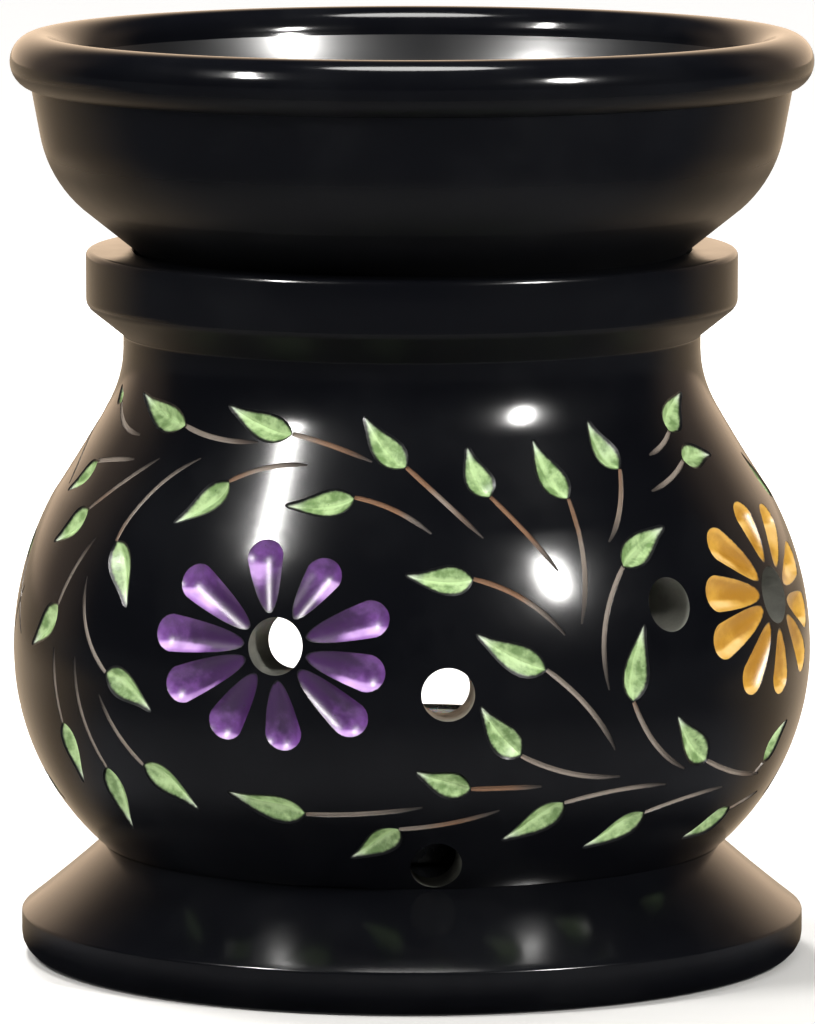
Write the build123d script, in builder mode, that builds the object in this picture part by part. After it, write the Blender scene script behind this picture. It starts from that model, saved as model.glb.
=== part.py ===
from build123d import *
from math import acos, asin, cos, radians, sin, sqrt, tan
import os

# Essential oil burner in polished black stone, millimetres, +Z up.
# A turned foot carries a pot with carved flowers and drilled vents. The oil bowl
# drops into the pot's collar and lifts off. A tealight stands on the foot, inside
# the pot, and slides out through an arched doorway at the back (+Y).
# The origin is on the surface that the foot stands on, at the middle.

# Radius of the stone that the bowl, the pot and the foot are each turned from
BLANK_RADIUS = 43.3

# Foot
FOOT_SKIM = 0.85
FOOT_HEIGHT = 12.2
FOOT_BAND_HEIGHT = 4.75
FOOT_UNDER_ROUND = 2.4
FOOT_BAND_ROUND = 0.4
FOOT_FLARE_HOLLOW = 0.1

# Pot: bulb, neck and collar
BULB_SKIM = 0.1
BULB_RISE = 21.1
BULB_LOWER_ARC = 27.8
BULB_UPPER_ARC = 34.8
SHOULDER_ANGLE = 29.0
SHOULDER_RISE = 12.64
SHOULDER_HOLLOW = 0.15
NECK_STEP = 12.0
NECK_HEIGHT = 4.7
COLLAR_UNDERCUT = 3.2
COLLAR_BAND = 5.9
COLLAR_ROUND = 0.9
COLLAR_EDGE = 0.5

# Pot: wall thicknesses, and the socket that the bowl drops into
POT_WALL = 6.0
POT_SEAT_WALL = 5.8
NECK_WALL = 5.7
COLLAR_WALL = 5.2
SOCKET_DEPTH = 3.6
SOCKET_LEDGE = 4.2
SOCKET_CLEARANCE = 0.3

# Drilled vents: degrees from the front towards +X, and height over the bulb's equator
VENT_DIAMETER = 5.6
VENT_ANGLES = (5, 40, 140, -140)
VENT_RISES = (0.9, 8.9, -0.3, -0.3)
NECK_VENT_DIAMETER = 5.4
NECK_VENT_SILL = 0.2
NECK_VENT_ANGLES = (4, 94, -86)

# Carved flowers, placed as the vents are, and their gouged petals
FLOWER_ANGLES = (-19.5, 66, -110)
FLOWER_RISES = (5.6, 7.9, 5.5)
FLOWER_EYE_DIAMETER = 6.0
PETAL_ANGLES = (17, 57, 104, 149, 177, 203, 236, 276, 318, 346)
PETAL_TIP_REACHES = (10.6, 8.7, 9.2, 11.7, 12.4, 11.7, 9.8, 9.0, 10.8, 10.1)
PETAL_HEEL_REACH = 4.0
PETAL_HEEL_ROUND = 1.6
PETAL_TIP_ROUND = 2.55
PETAL_LIFT = 1.5

# Oil bowl: outside
# Steps are measured inwards from the lip's centre line, rises upwards from the spigot
BOWL_HEIGHT = 27.0
SPIGOT_HEIGHT = 3.5
SPIGOT_INSET = 0.5
UNDERSIDE_STEP = 4.6
UNDERSIDE_RISE = 4.8
TURN_STEP = 1.7
TURN_RISE = 8.4
WALL_STEP = 0.2
WALL_RISE = 12.7
GROOVE_OVERHANG = 0.7
LIP_ROUND = 3.0

# Oil bowl: inside, by the thickness left between it and the outside
BOWL_WALL = 5.4
BOWL_TURN_WALL = 5.4
BOWL_BOTTOM = 4.5
BOWL_BOTTOM_DISH = 0.8
BOWL_WALL_FOOT = 11.2
BOWL_TURN_FOOT = 4.6
BOWL_FLOOR_INSET = 2.2

# Tealight
TEALIGHT_DIAMETER = 38.0
TEALIGHT_HEIGHT = 12.0
CUP_SKIN = 0.4
CUP_BEAD = 0.5
WAX_DEPTH = 9.4
WAX_CLEARANCE = 0.05
WICK_DIAMETER = 1.4
WICK_ABOVE_WAX = 3.2
TAB_DIAMETER = 12.0
TAB_SKIN = 0.3
TAB_TUBE_WALL = 0.35
TAB_TUBE_HEIGHT = 3.0
TAB_CLEARANCE = 0.05

# Arched doorway that the tealight passes through
DOORWAY_CLEARANCE = 3.0
DOORWAY_POST = 12.2

# How far a cut runs past the wall that it goes through
OVERRUN = 5.0

# Radii and heights that follow from the sizes above
FOOT_RADIUS = BLANK_RADIUS - FOOT_SKIM
BULB_RADIUS = BLANK_RADIUS - BULB_SKIM
LIP_RADIUS = BLANK_RADIUS - LIP_ROUND
NECK_RADIUS = BULB_RADIUS - NECK_STEP
NECK_BORE_RADIUS = NECK_RADIUS - NECK_WALL
SPIGOT_RADIUS = NECK_BORE_RADIUS + SOCKET_LEDGE
SOCKET_RADIUS = SPIGOT_RADIUS + SOCKET_CLEARANCE
COLLAR_RADIUS = SOCKET_RADIUS + COLLAR_WALL
EQUATOR_Z = FOOT_HEIGHT + BULB_RISE
SHOULDER_Z = EQUATOR_Z + BULB_UPPER_ARC * sin(radians(SHOULDER_ANGLE))
SHOULDER_RADIUS = BULB_RADIUS - BULB_UPPER_ARC * (1 - cos(radians(SHOULDER_ANGLE)))
NECK_Z = SHOULDER_Z + SHOULDER_RISE
COLLAR_Z = NECK_Z + NECK_HEIGHT
COLLAR_BAND_Z = COLLAR_Z + COLLAR_UNDERCUT
POT_TOP_Z = COLLAR_BAND_Z + COLLAR_BAND
SOCKET_Z = POT_TOP_Z - SOCKET_DEPTH


def bulb_radius(rise):
    """Outer radius of the bulb at a rise over its equator."""
    arc = BULB_UPPER_ARC if rise > 0 else BULB_LOWER_ARC
    return BULB_RADIUS - arc + sqrt(arc**2 - rise**2)


def on_bulb(turn, rise, lift=0.0):
    """Point on the bulb, lifted off it along its outward direction, turn in radians."""
    arc = BULB_UPPER_ARC if rise > 0 else BULB_LOWER_ARC
    tilt = asin(rise / arc)
    radius = bulb_radius(rise) + lift * cos(tilt)
    place = Vector(radius * sin(turn), -radius * cos(turn), 0)
    return place + Vector(0, 0, EQUATOR_Z + rise + lift * sin(tilt))


POT_SEAT_RADIUS = bulb_radius(-BULB_RISE)
CHAMBER_RADIUS = POT_SEAT_RADIUS - POT_SEAT_WALL


def hollow_mid(start, end, hollow):
    """Middle of a slope that rises inwards, sunk below its chord by the hollow."""
    chord = Vector(end) - Vector(start)
    inward = Vector(-chord.Y, chord.X).normalized()
    return (Vector(start) + Vector(end)) * 0.5 + inward * hollow


# Foot: a flat disc whose top edge is a hollow flare up to the pot
flare_start = (FOOT_RADIUS, FOOT_BAND_HEIGHT)
flare_end = (POT_SEAT_RADIUS, FOOT_HEIGHT)
with BuildPart() as base_foot:
    with BuildSketch(Plane.XZ):
        with BuildLine():
            Polyline((0, FOOT_HEIGHT), (0, 0), (FOOT_RADIUS, 0), flare_start)
            ThreePointArc(
                flare_start,
                hollow_mid(flare_start, flare_end, FOOT_FLARE_HOLLOW),
                flare_end,
            )
            Line(flare_end, (0, FOOT_HEIGHT))
        make_face()
    revolve(axis=Axis.Z)
    rims = base_foot.edges().filter_by(GeomType.CIRCLE).group_by(Axis.Z)
    under_rim = rims[0]
    band_rim = rims[1]
    fillet(under_rim, FOOT_UNDER_ROUND)
    fillet(band_rim, FOOT_BAND_ROUND)
base_foot.part.label = "base_foot"

# Pot: the turned outline, bored through from the chamber to the bowl's socket
inner_lower_arc = BULB_LOWER_ARC - POT_WALL
inner_upper_arc = BULB_UPPER_ARC - POT_WALL
lower_centre = BULB_RADIUS - BULB_LOWER_ARC
upper_centre = BULB_RADIUS - BULB_UPPER_ARC
chamber_drop = sqrt(inner_lower_arc**2 - (CHAMBER_RADIUS - lower_centre) ** 2)
chamber_tilt = asin(chamber_drop / inner_lower_arc)
seat_tilt = asin(BULB_RISE / BULB_LOWER_ARC)
shoulder_tilt = radians(SHOULDER_ANGLE)
inner_shoulder = Vector(
    upper_centre + inner_upper_arc * cos(shoulder_tilt),
    EQUATOR_Z + inner_upper_arc * sin(shoulder_tilt),
)
neck_bore_z = inner_shoulder.Y + (inner_shoulder.X - NECK_BORE_RADIUS) / tan(shoulder_tilt)


def turned_arc_point(centre, arc, tilt):
    """Radius and height on an arc centred level with the equator, tilt in radians."""
    return (centre + arc * cos(tilt), EQUATOR_Z + arc * sin(tilt))


with BuildPart() as burner_body:
    with BuildSketch(Plane.XZ):
        with BuildLine():
            ThreePointArc(
                (POT_SEAT_RADIUS, FOOT_HEIGHT),
                turned_arc_point(lower_centre, BULB_LOWER_ARC, -seat_tilt / 2),
                (BULB_RADIUS, EQUATOR_Z),
            )
            ThreePointArc(
                (BULB_RADIUS, EQUATOR_Z),
                turned_arc_point(upper_centre, BULB_UPPER_ARC, shoulder_tilt / 2),
                (SHOULDER_RADIUS, SHOULDER_Z),
            )
            ThreePointArc(
                (SHOULDER_RADIUS, SHOULDER_Z),
                hollow_mid(
                    (SHOULDER_RADIUS, SHOULDER_Z), (NECK_RADIUS, NECK_Z), SHOULDER_HOLLOW
                ),
                (NECK_RADIUS, NECK_Z),
            )
            Polyline(
                (NECK_RADIUS, NECK_Z),
                (NECK_RADIUS, COLLAR_Z),
                (COLLAR_RADIUS, COLLAR_BAND_Z),
                (COLLAR_RADIUS, POT_TOP_Z),
                (SOCKET_RADIUS, POT_TOP_Z),
                (SOCKET_RADIUS, SOCKET_Z),
                (NECK_BORE_RADIUS, SOCKET_Z),
                (NECK_BORE_RADIUS, neck_bore_z),
                (inner_shoulder.X, inner_shoulder.Y),
            )
            ThreePointArc(
                (inner_shoulder.X, inner_shoulder.Y),
                turned_arc_point(upper_centre, inner_upper_arc, shoulder_tilt / 2),
                (BULB_RADIUS - POT_WALL, EQUATOR_Z),
            )
            ThreePointArc(
                (BULB_RADIUS - POT_WALL, EQUATOR_Z),
                turned_arc_point(lower_centre, inner_lower_arc, -chamber_tilt / 2),
                (CHAMBER_RADIUS, EQUATOR_Z - chamber_drop),
            )
            Polyline(
                (CHAMBER_RADIUS, EQUATOR_Z - chamber_drop),
                (CHAMBER_RADIUS, FOOT_HEIGHT),
                (POT_SEAT_RADIUS, FOOT_HEIGHT),
            )
        make_face()
    revolve(axis=Axis.Z)
    rims = burner_body.edges().filter_by(GeomType.CIRCLE)
    rims = rims.filter_by_position(Axis.Z, COLLAR_BAND_Z, POT_TOP_Z)
    collar_rims = rims.filter_by(lambda rim: rim.radius > SOCKET_RADIUS + COLLAR_EDGE)
    lower_rim = collar_rims.sort_by(Axis.Z)[0]
    upper_rim = collar_rims.sort_by(Axis.Z)[-1]
    fillet(lower_rim, COLLAR_ROUND)
    chamfer(upper_rim, COLLAR_EDGE)

    # Arched doorway at the back, wide enough for the tealight
    doorway_half = TEALIGHT_DIAMETER / 2 + DOORWAY_CLEARANCE
    spring_z = FOOT_HEIGHT + DOORWAY_POST
    with BuildSketch(Plane.XZ):
        with BuildLine():
            Polyline(
                (-doorway_half, spring_z),
                (-doorway_half, FOOT_HEIGHT),
                (doorway_half, FOOT_HEIGHT),
                (doorway_half, spring_z),
            )
            ThreePointArc(
                (doorway_half, spring_z),
                (0, spring_z + doorway_half),
                (-doorway_half, spring_z),
            )
        make_face()
    extrude(amount=-(BULB_RADIUS + OVERRUN), mode=Mode.SUBTRACT)

    # Vents, each drilled level through the wall towards the axis
    drill_reach = BULB_RADIUS + OVERRUN
    neck_vent_rise = NECK_VENT_SILL + NECK_VENT_DIAMETER / 2 - BULB_RISE
    drillings = [(angle, rise, VENT_DIAMETER) for angle, rise in zip(VENT_ANGLES, VENT_RISES)]
    drillings += [
        (angle, rise, FLOWER_EYE_DIAMETER) for angle, rise in zip(FLOWER_ANGLES, FLOWER_RISES)
    ]
    drillings += [(angle, neck_vent_rise, NECK_VENT_DIAMETER) for angle in NECK_VENT_ANGLES]
    for angle, rise, diameter in drillings:
        outward = Vector(sin(radians(angle)), -cos(radians(angle)), 0)
        with BuildSketch(Plane(origin=Vector(0, 0, EQUATOR_Z + rise), z_dir=outward)):
            Circle(diameter / 2)
        extrude(amount=drill_reach, mode=Mode.SUBTRACT)

    # Flowers: each petal is a gouge cut, wide at its tip and pointed at its heel
    for flower_angle, flower_rise in zip(FLOWER_ANGLES, FLOWER_RISES):
        flower_turn = radians(flower_angle)
        out = on_bulb(flower_turn, flower_rise, PETAL_LIFT) - on_bulb(flower_turn, flower_rise)
        for petal_angle, tip_reach in zip(PETAL_ANGLES, PETAL_TIP_REACHES):
            ends = []
            for reach in (PETAL_HEEL_REACH, tip_reach):
                east = reach * cos(radians(petal_angle))
                north = reach * sin(radians(petal_angle))
                around = flower_turn + east / bulb_radius(flower_rise)
                ends.append(on_bulb(around, flower_rise + north, PETAL_LIFT))
            heel, tip = ends
            spine = tip - heel
            length = spine.length
            flank = asin((PETAL_TIP_ROUND - PETAL_HEEL_ROUND) / length)
            heel_side = Vector(-sin(flank), cos(flank)) * PETAL_HEEL_ROUND
            tip_side = Vector(length, 0) + Vector(-sin(flank), cos(flank)) * PETAL_TIP_ROUND
            heel_bow = (radians(90) - flank) / 2
            tip_bow = (radians(90) + flank) / 2
            with BuildSketch(Plane(origin=heel, x_dir=spine, z_dir=spine.cross(out))):
                with BuildLine():
                    ThreePointArc(
                        (-PETAL_HEEL_ROUND, 0),
                        Vector(-cos(heel_bow), sin(heel_bow)) * PETAL_HEEL_ROUND,
                        heel_side,
                    )
                    Line(heel_side, tip_side)
                    ThreePointArc(
                        tip_side,
                        Vector(length, 0) + Vector(cos(tip_bow), sin(tip_bow)) * PETAL_TIP_ROUND,
                        (length + PETAL_TIP_ROUND, 0),
                    )
                    Line((length + PETAL_TIP_ROUND, 0), (-PETAL_HEEL_ROUND, 0))
                make_face()
            revolve(axis=Axis(heel, spine), mode=Mode.SUBTRACT)
burner_body.part.label = "burner_body"

# Oil bowl: spigot, sloping underside, steep wall, and a rolled lip over a groove
spigot_top_z = SOCKET_Z + SPIGOT_HEIGHT
rim_z = SOCKET_Z + BOWL_HEIGHT
lip_z = rim_z - LIP_ROUND
groove_radius = LIP_RADIUS + GROOVE_OVERHANG
lip_start = acos(GROOVE_OVERHANG / LIP_ROUND)
lip_mid = (radians(180) - lip_start) / 2
groove_z = lip_z - LIP_ROUND * sin(lip_start)
lip_inside = (LIP_RADIUS - LIP_ROUND, lip_z)
lip_outside = (LIP_RADIUS + LIP_ROUND * cos(lip_mid), lip_z + LIP_ROUND * sin(lip_mid))
underside = (LIP_RADIUS - UNDERSIDE_STEP, spigot_top_z + UNDERSIDE_RISE)
bowl_turn = (LIP_RADIUS - TURN_STEP, spigot_top_z + TURN_RISE)
wall_foot = (LIP_RADIUS - WALL_STEP, spigot_top_z + WALL_RISE)
recess_radius = NECK_BORE_RADIUS - SPIGOT_INSET
bottom_z = spigot_top_z - BOWL_BOTTOM_DISH
floor_z = bottom_z + BOWL_BOTTOM
floor_edge = (SPIGOT_RADIUS - BOWL_FLOOR_INSET, floor_z + BOWL_BOTTOM_DISH)
inner_turn = (bowl_turn[0] - BOWL_TURN_WALL, floor_z + BOWL_TURN_FOOT)
inner_wall = (wall_foot[0] - BOWL_WALL, floor_z + BOWL_WALL_FOOT)
with BuildPart() as oil_bowl:
    with BuildSketch(Plane.XZ):
        with BuildLine():
            Polyline(
                (0, floor_z),
                (0, bottom_z),
                (recess_radius, bottom_z),
                (recess_radius, SOCKET_Z),
                (SPIGOT_RADIUS, SOCKET_Z),
                (SPIGOT_RADIUS, spigot_top_z),
                underside,
            )
            ThreePointArc(underside, bowl_turn, wall_foot)
            Line(wall_foot, (groove_radius, groove_z))
            ThreePointArc((groove_radius, groove_z), lip_outside, lip_inside)
            Line(lip_inside, inner_wall)
            ThreePointArc(inner_wall, inner_turn, floor_edge)
            Line(floor_edge, (0, floor_z))
        make_face()
    revolve(axis=Axis.Z)
oil_bowl.part.label = "oil_bowl"

# Tealight cup: a thin pressed cup with a rolled edge
cup_radius = TEALIGHT_DIAMETER / 2
cup_inside = cup_radius - CUP_BEAD - CUP_SKIN
cup_floor_z = FOOT_HEIGHT + CUP_SKIN
cup_top_z = FOOT_HEIGHT + TEALIGHT_HEIGHT
with BuildPart() as tealight_cup:
    with BuildSketch(Plane.XZ):
        with BuildLine():
            Polyline(
                (0, cup_floor_z),
                (0, FOOT_HEIGHT),
                (cup_inside + CUP_SKIN, FOOT_HEIGHT),
                (cup_inside + CUP_SKIN, cup_top_z - CUP_BEAD * 2),
                (cup_inside + CUP_SKIN + CUP_BEAD, cup_top_z - CUP_BEAD * 2),
                (cup_inside + CUP_SKIN + CUP_BEAD, cup_top_z),
                (cup_inside, cup_top_z),
                (cup_inside, cup_floor_z),
                (0, cup_floor_z),
            )
        make_face()
    revolve(axis=Axis.Z)
    rims = tealight_cup.edges().filter_by(GeomType.CIRCLE)
    foot_rim = rims.group_by(Axis.Z)[0]
    bead_rims = rims.filter_by(lambda rim: rim.radius > cup_inside + CUP_SKIN + CUP_BEAD / 2)
    fillet(foot_rim, CUP_SKIN)
    fillet(bead_rims, CUP_BEAD / 2)
tealight_cup.part.label = "tealight_cup"

# Wick tab: a thin disc on the cup's floor with a short tube round the wick
wick_radius = WICK_DIAMETER / 2
tube_bore = wick_radius + TAB_CLEARANCE
tube_radius = tube_bore + TAB_TUBE_WALL
tab_radius = TAB_DIAMETER / 2
with BuildPart() as wick_tab:
    with BuildSketch(Plane.XY.offset(cup_floor_z)):
        Circle(tab_radius)
    extrude(amount=TAB_SKIN)
    with BuildSketch(Plane.XY.offset(cup_floor_z + TAB_SKIN)):
        Circle(tube_radius)
        Circle(tube_bore, mode=Mode.SUBTRACT)
    extrude(amount=TAB_TUBE_HEIGHT)
wick_tab.part.label = "wick_tab"

# Wax: cast round the tab and the wick
wax_top_z = cup_floor_z + WAX_DEPTH
tab_hollow_z = cup_floor_z + TAB_SKIN + TAB_CLEARANCE
tube_hollow_z = cup_floor_z + TAB_SKIN + TAB_TUBE_HEIGHT + TAB_CLEARANCE
with BuildPart() as tealight_wax:
    with BuildSketch(Plane.XZ):
        with BuildLine():
            Polyline(
                (tab_radius + TAB_CLEARANCE, cup_floor_z),
                (cup_inside - WAX_CLEARANCE, cup_floor_z),
                (cup_inside - WAX_CLEARANCE, wax_top_z),
                (tube_bore, wax_top_z),
                (tube_bore, tube_hollow_z),
                (tube_radius + TAB_CLEARANCE, tube_hollow_z),
                (tube_radius + TAB_CLEARANCE, tab_hollow_z),
                (tab_radius + TAB_CLEARANCE, tab_hollow_z),
                close=True,
            )
        make_face()
    revolve(axis=Axis.Z)
tealight_wax.part.label = "tealight_wax"

# Wick: stands on the tab, in its tube, and out of the wax
with BuildPart() as tealight_wick:
    with BuildSketch(Plane.XY.offset(cup_floor_z + TAB_SKIN)):
        Circle(wick_radius)
    extrude(amount=WAX_DEPTH - TAB_SKIN + WICK_ABOVE_WAX)
tealight_wick.part.label = "tealight_wick"

os.makedirs("parts", exist_ok=True)
export_step(base_foot.part, "parts/base_foot.step")
export_step(burner_body.part, "parts/burner_body.step")
export_step(oil_bowl.part, "parts/oil_bowl.step")
export_step(tealight_cup.part, "parts/tealight_cup.step")
export_step(wick_tab.part, "parts/wick_tab.step")
export_step(tealight_wax.part, "parts/tealight_wax.step")
export_step(tealight_wick.part, "parts/tealight_wick.step")
print("overall height", round(rim_z, 2), "largest radius", round(BLANK_RADIUS, 2))
print("levels", round(NECK_Z, 2), round(COLLAR_Z, 2), round(POT_TOP_Z, 2), round(floor_z, 2))
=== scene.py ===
from math import acos, asin, atan2, cos, hypot, pi, radians, sin, sqrt, tan

import bpy
from bpy.props import FloatProperty, FloatVectorProperty, IntProperty, PointerProperty
from mathutils import Matrix, Vector


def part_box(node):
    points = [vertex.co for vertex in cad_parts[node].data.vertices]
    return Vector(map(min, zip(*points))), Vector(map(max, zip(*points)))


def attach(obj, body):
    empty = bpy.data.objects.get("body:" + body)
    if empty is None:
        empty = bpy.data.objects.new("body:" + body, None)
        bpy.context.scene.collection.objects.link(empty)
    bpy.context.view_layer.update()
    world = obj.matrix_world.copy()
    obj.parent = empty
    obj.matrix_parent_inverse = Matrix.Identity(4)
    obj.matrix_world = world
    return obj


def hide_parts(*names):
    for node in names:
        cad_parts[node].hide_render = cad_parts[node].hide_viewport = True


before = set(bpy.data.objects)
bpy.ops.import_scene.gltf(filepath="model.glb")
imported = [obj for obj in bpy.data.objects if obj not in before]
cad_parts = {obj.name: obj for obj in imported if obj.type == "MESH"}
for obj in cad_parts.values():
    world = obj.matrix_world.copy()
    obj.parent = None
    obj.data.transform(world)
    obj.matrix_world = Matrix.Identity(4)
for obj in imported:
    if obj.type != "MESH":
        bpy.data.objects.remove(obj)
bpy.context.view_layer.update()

bl_info = {
    "name": "Carved Stone Oil Burner",
    "version": (1, 0, 0),
    "blender": (4, 5, 0),
    "location": "3D Viewport > Sidebar > Oil Burner",
    "description": "Turns, carves and paints a black stone oil burner and its tealight",
    "category": "Add Mesh",
}

MM = 0.001
FULL_TURN = 2 * pi
ALONG_X, ALONG_Y = (0, pi / 2, 0), (pi / 2, 0, 0)
SMOOTH_BELOW = radians(24)

foot_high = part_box("base_foot")[1]
pot_low, pot_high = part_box("burner_body")
bowl_low, bowl_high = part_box("oil_bowl")
cup_low, cup_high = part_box("tealight_cup")
wax_low, wax_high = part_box("tealight_wax")
wick_low, wick_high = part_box("tealight_wick")
tab_low, tab_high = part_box("wick_tab")


def length(name, description, default):
    """A size in metres."""
    return FloatProperty(
        name=name, description=description, default=default, min=0.0, unit="LENGTH", precision=5
    )


def share(name, description, default):
    """A share from nothing to all."""
    return FloatProperty(
        name=name, description=description, default=default, min=0.0, max=1.0, subtype="FACTOR"
    )


def angle(name, description, default):
    """An angle given in degrees and kept in radians."""
    return FloatProperty(
        name=name, description=description, default=radians(default), subtype="ANGLE"
    )


def colour(name, description, default):
    """A linear colour without alpha."""
    return FloatVectorProperty(
        name=name, description=description, default=default, min=0.0, max=1.0,
        size=3, subtype="COLOR",
    )


class FootSizes(bpy.types.PropertyGroup):
    """The turned disc that the pot is bonded to."""

    radius: length("Radius", "Radius of the foot's band", foot_high.x)
    height: length("Height", "Height of the foot", foot_high.z)
    band: length("Band", "Height of the upright band", 4.75 * MM)
    under_round: length("Under round", "Round of the lower edge", 2.4 * MM)
    band_round: length("Band round", "Round where the band meets the flare", 0.4 * MM)
    hollow: length("Flare hollow", "How far the flare sinks below a straight slope", 0.1 * MM)
    seam: length("Seam round", "Round of the edges at the bonded seam", 0.25 * MM)


class PotSizes(bpy.types.PropertyGroup):
    """The turned pot: bulb, neck and collar."""

    bulb_radius: length("Bulb radius", "Radius at the bulb's equator", pot_high.x)
    top: length("Top", "Height of the collar's top", pot_high.z)
    equator: length("Equator", "Height of the bulb's equator", pot_low.z + 21.1 * MM)
    lower_arc: length("Lower arc", "Radius of the bulb's outline under its equator", 27.8 * MM)
    upper_arc: length("Upper arc", "Radius of the bulb's outline over its equator", 34.8 * MM)
    shoulder: angle("Shoulder", "Angle over the equator at which the arc ends", 29)
    shoulder_rise: length("Shoulder rise", "Height of the slope up to the neck", 12.64 * MM)
    shoulder_hollow: length("Shoulder hollow", "How far the slope sinks", 0.15 * MM)
    neck_step: length("Neck step", "How far the neck stands in from the bulb", 12 * MM)
    neck_height: length("Neck height", "Height of the neck", 4.7 * MM)
    neck_ease: length("Neck ease", "How softly the slope runs into the neck", 1.8 * MM)
    collar_radius: length("Collar radius", "Radius of the collar's band", 35.2 * MM)
    collar_undercut: length("Undercut", "Height of the slope under the collar", 3.2 * MM)
    collar_round: length("Collar round", "Round under the collar's band", 1.5 * MM)
    collar_edge: length("Collar edge", "Round of the collar's top edge", 0.6 * MM)
    wall: length("Wall", "Thickness of the bulb's wall", 6 * MM)
    seat_wall: length("Seat wall", "Thickness of the wall at the foot", 5.8 * MM)
    bore: length("Bore", "Radius of the bore through the neck", 25.5 * MM)
    socket: length("Socket", "Radius of the bowl's socket", 30 * MM)
    socket_depth: length("Socket depth", "Depth of the bowl's socket", 3.6 * MM)
    doorway_half: length("Doorway half width", "Half the width of the doorway", 22 * MM)
    doorway_post: length("Doorway post", "Height of the doorway's upright sides", 12.2 * MM)
    vent: length("Vent", "Diameter of the vents in the bulb", 5.6 * MM)
    neck_vent: length("Low vent", "Diameter of the vents just over the foot", 5.4 * MM)


class CarvingSizes(bpy.types.PropertyGroup):
    """The gouged flowers, leaves and stems."""

    eye: length("Eye", "Diameter of the drilled eye of a flower", 6 * MM)
    heel_reach: length("Heel reach", "From a flower's middle to a petal's heel", 4 * MM)
    heel_round: length("Heel round", "Radius of the gouge at a petal's heel", 1.6 * MM)
    tip_round: length("Tip round", "Radius of the gouge at a petal's tip", 2.55 * MM)
    lift: length("Lift", "Height of the gouge's middle over the bulb", 1.5 * MM)
    leaf_width: length("Leaf width", "Width of a leaf", 3.1 * MM)
    leaf_depth: length("Leaf depth", "Depth of a leaf at its midrib", 0.8 * MM)
    leaf_tail: length("Leaf tail", "Width of a leaf's tail", 0.8 * MM)
    stem_width: length("Stem width", "Width of a stem's groove", 0.6 * MM)
    stem_depth: length("Stem depth", "Depth of a stem's groove", 0.3 * MM)


class BowlSizes(bpy.types.PropertyGroup):
    """The loose oil bowl. Its rim and its spigot's face are given over the floor."""

    rim: length("Rim", "Height of the rim", bowl_high.z)
    foot: length("Foot", "Height of the spigot's face", bowl_low.z)
    lip_round: length("Lip round", "Radius of the rolled lip", 3 * MM)
    lip_radius: length("Lip radius", "Radius of the circle that the lip runs along", 40.3 * MM)
    spigot: length("Spigot", "Radius of the spigot", 29.7 * MM)
    spigot_height: length("Spigot height", "Height of the spigot", 3.5 * MM)
    recess: length("Recess", "Radius of the recess under the bowl", 25 * MM)
    dish: length("Dish", "How far the bottom is dished", 0.8 * MM)
    bottom: length("Bottom", "Thickness of the bottom", 4.5 * MM)
    wall: length("Wall", "Thickness of the wall", 5.4 * MM)
    edge: length("Edges", "Round of the spigot's and the recess's edges", 0.3 * MM)
    groove: length("Groove", "From the lip's middle down to the groove under it", 0.7 * MM)
    wall_in: length("Wall in", "From the lip's circle in to the wall's top", 0.2 * MM)
    wall_up: length("Wall up", "From the spigot up to the wall's top", 12.7 * MM)
    bend_in: length("Bend in", "From the lip's circle in to the wall's bend", 1.7 * MM)
    bend_up: length("Bend up", "From the spigot up to the wall's bend", 8.4 * MM)
    underside_in: length("Underside in", "From the lip's circle in to the underside", 4.6 * MM)
    underside_up: length("Underside up", "From the spigot up to the underside's edge", 4.8 * MM)
    inner_wall_up: length("Inner wall up", "From the floor up to the inner wall's top", 11.2 * MM)
    inner_bend_up: length("Inner bend up", "From the floor up to the inner wall's bend", 4.6 * MM)
    floor_in: length("Floor in", "From the spigot's radius in to the floor's edge", 2.2 * MM)


class TealightSizes(bpy.types.PropertyGroup):
    """A standard tealight in a pressed cup."""

    cup_skin: length("Cup skin", "Thickness of the cup", 0.4 * MM)
    bead: length("Bead", "Width of the rolled edge", 0.5 * MM)
    wick_radius: length("Wick radius", "Radius of the wick", wick_high.x)
    strands: IntProperty(name="Strands", description="Strands in the wick", default=3, min=2)


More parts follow.
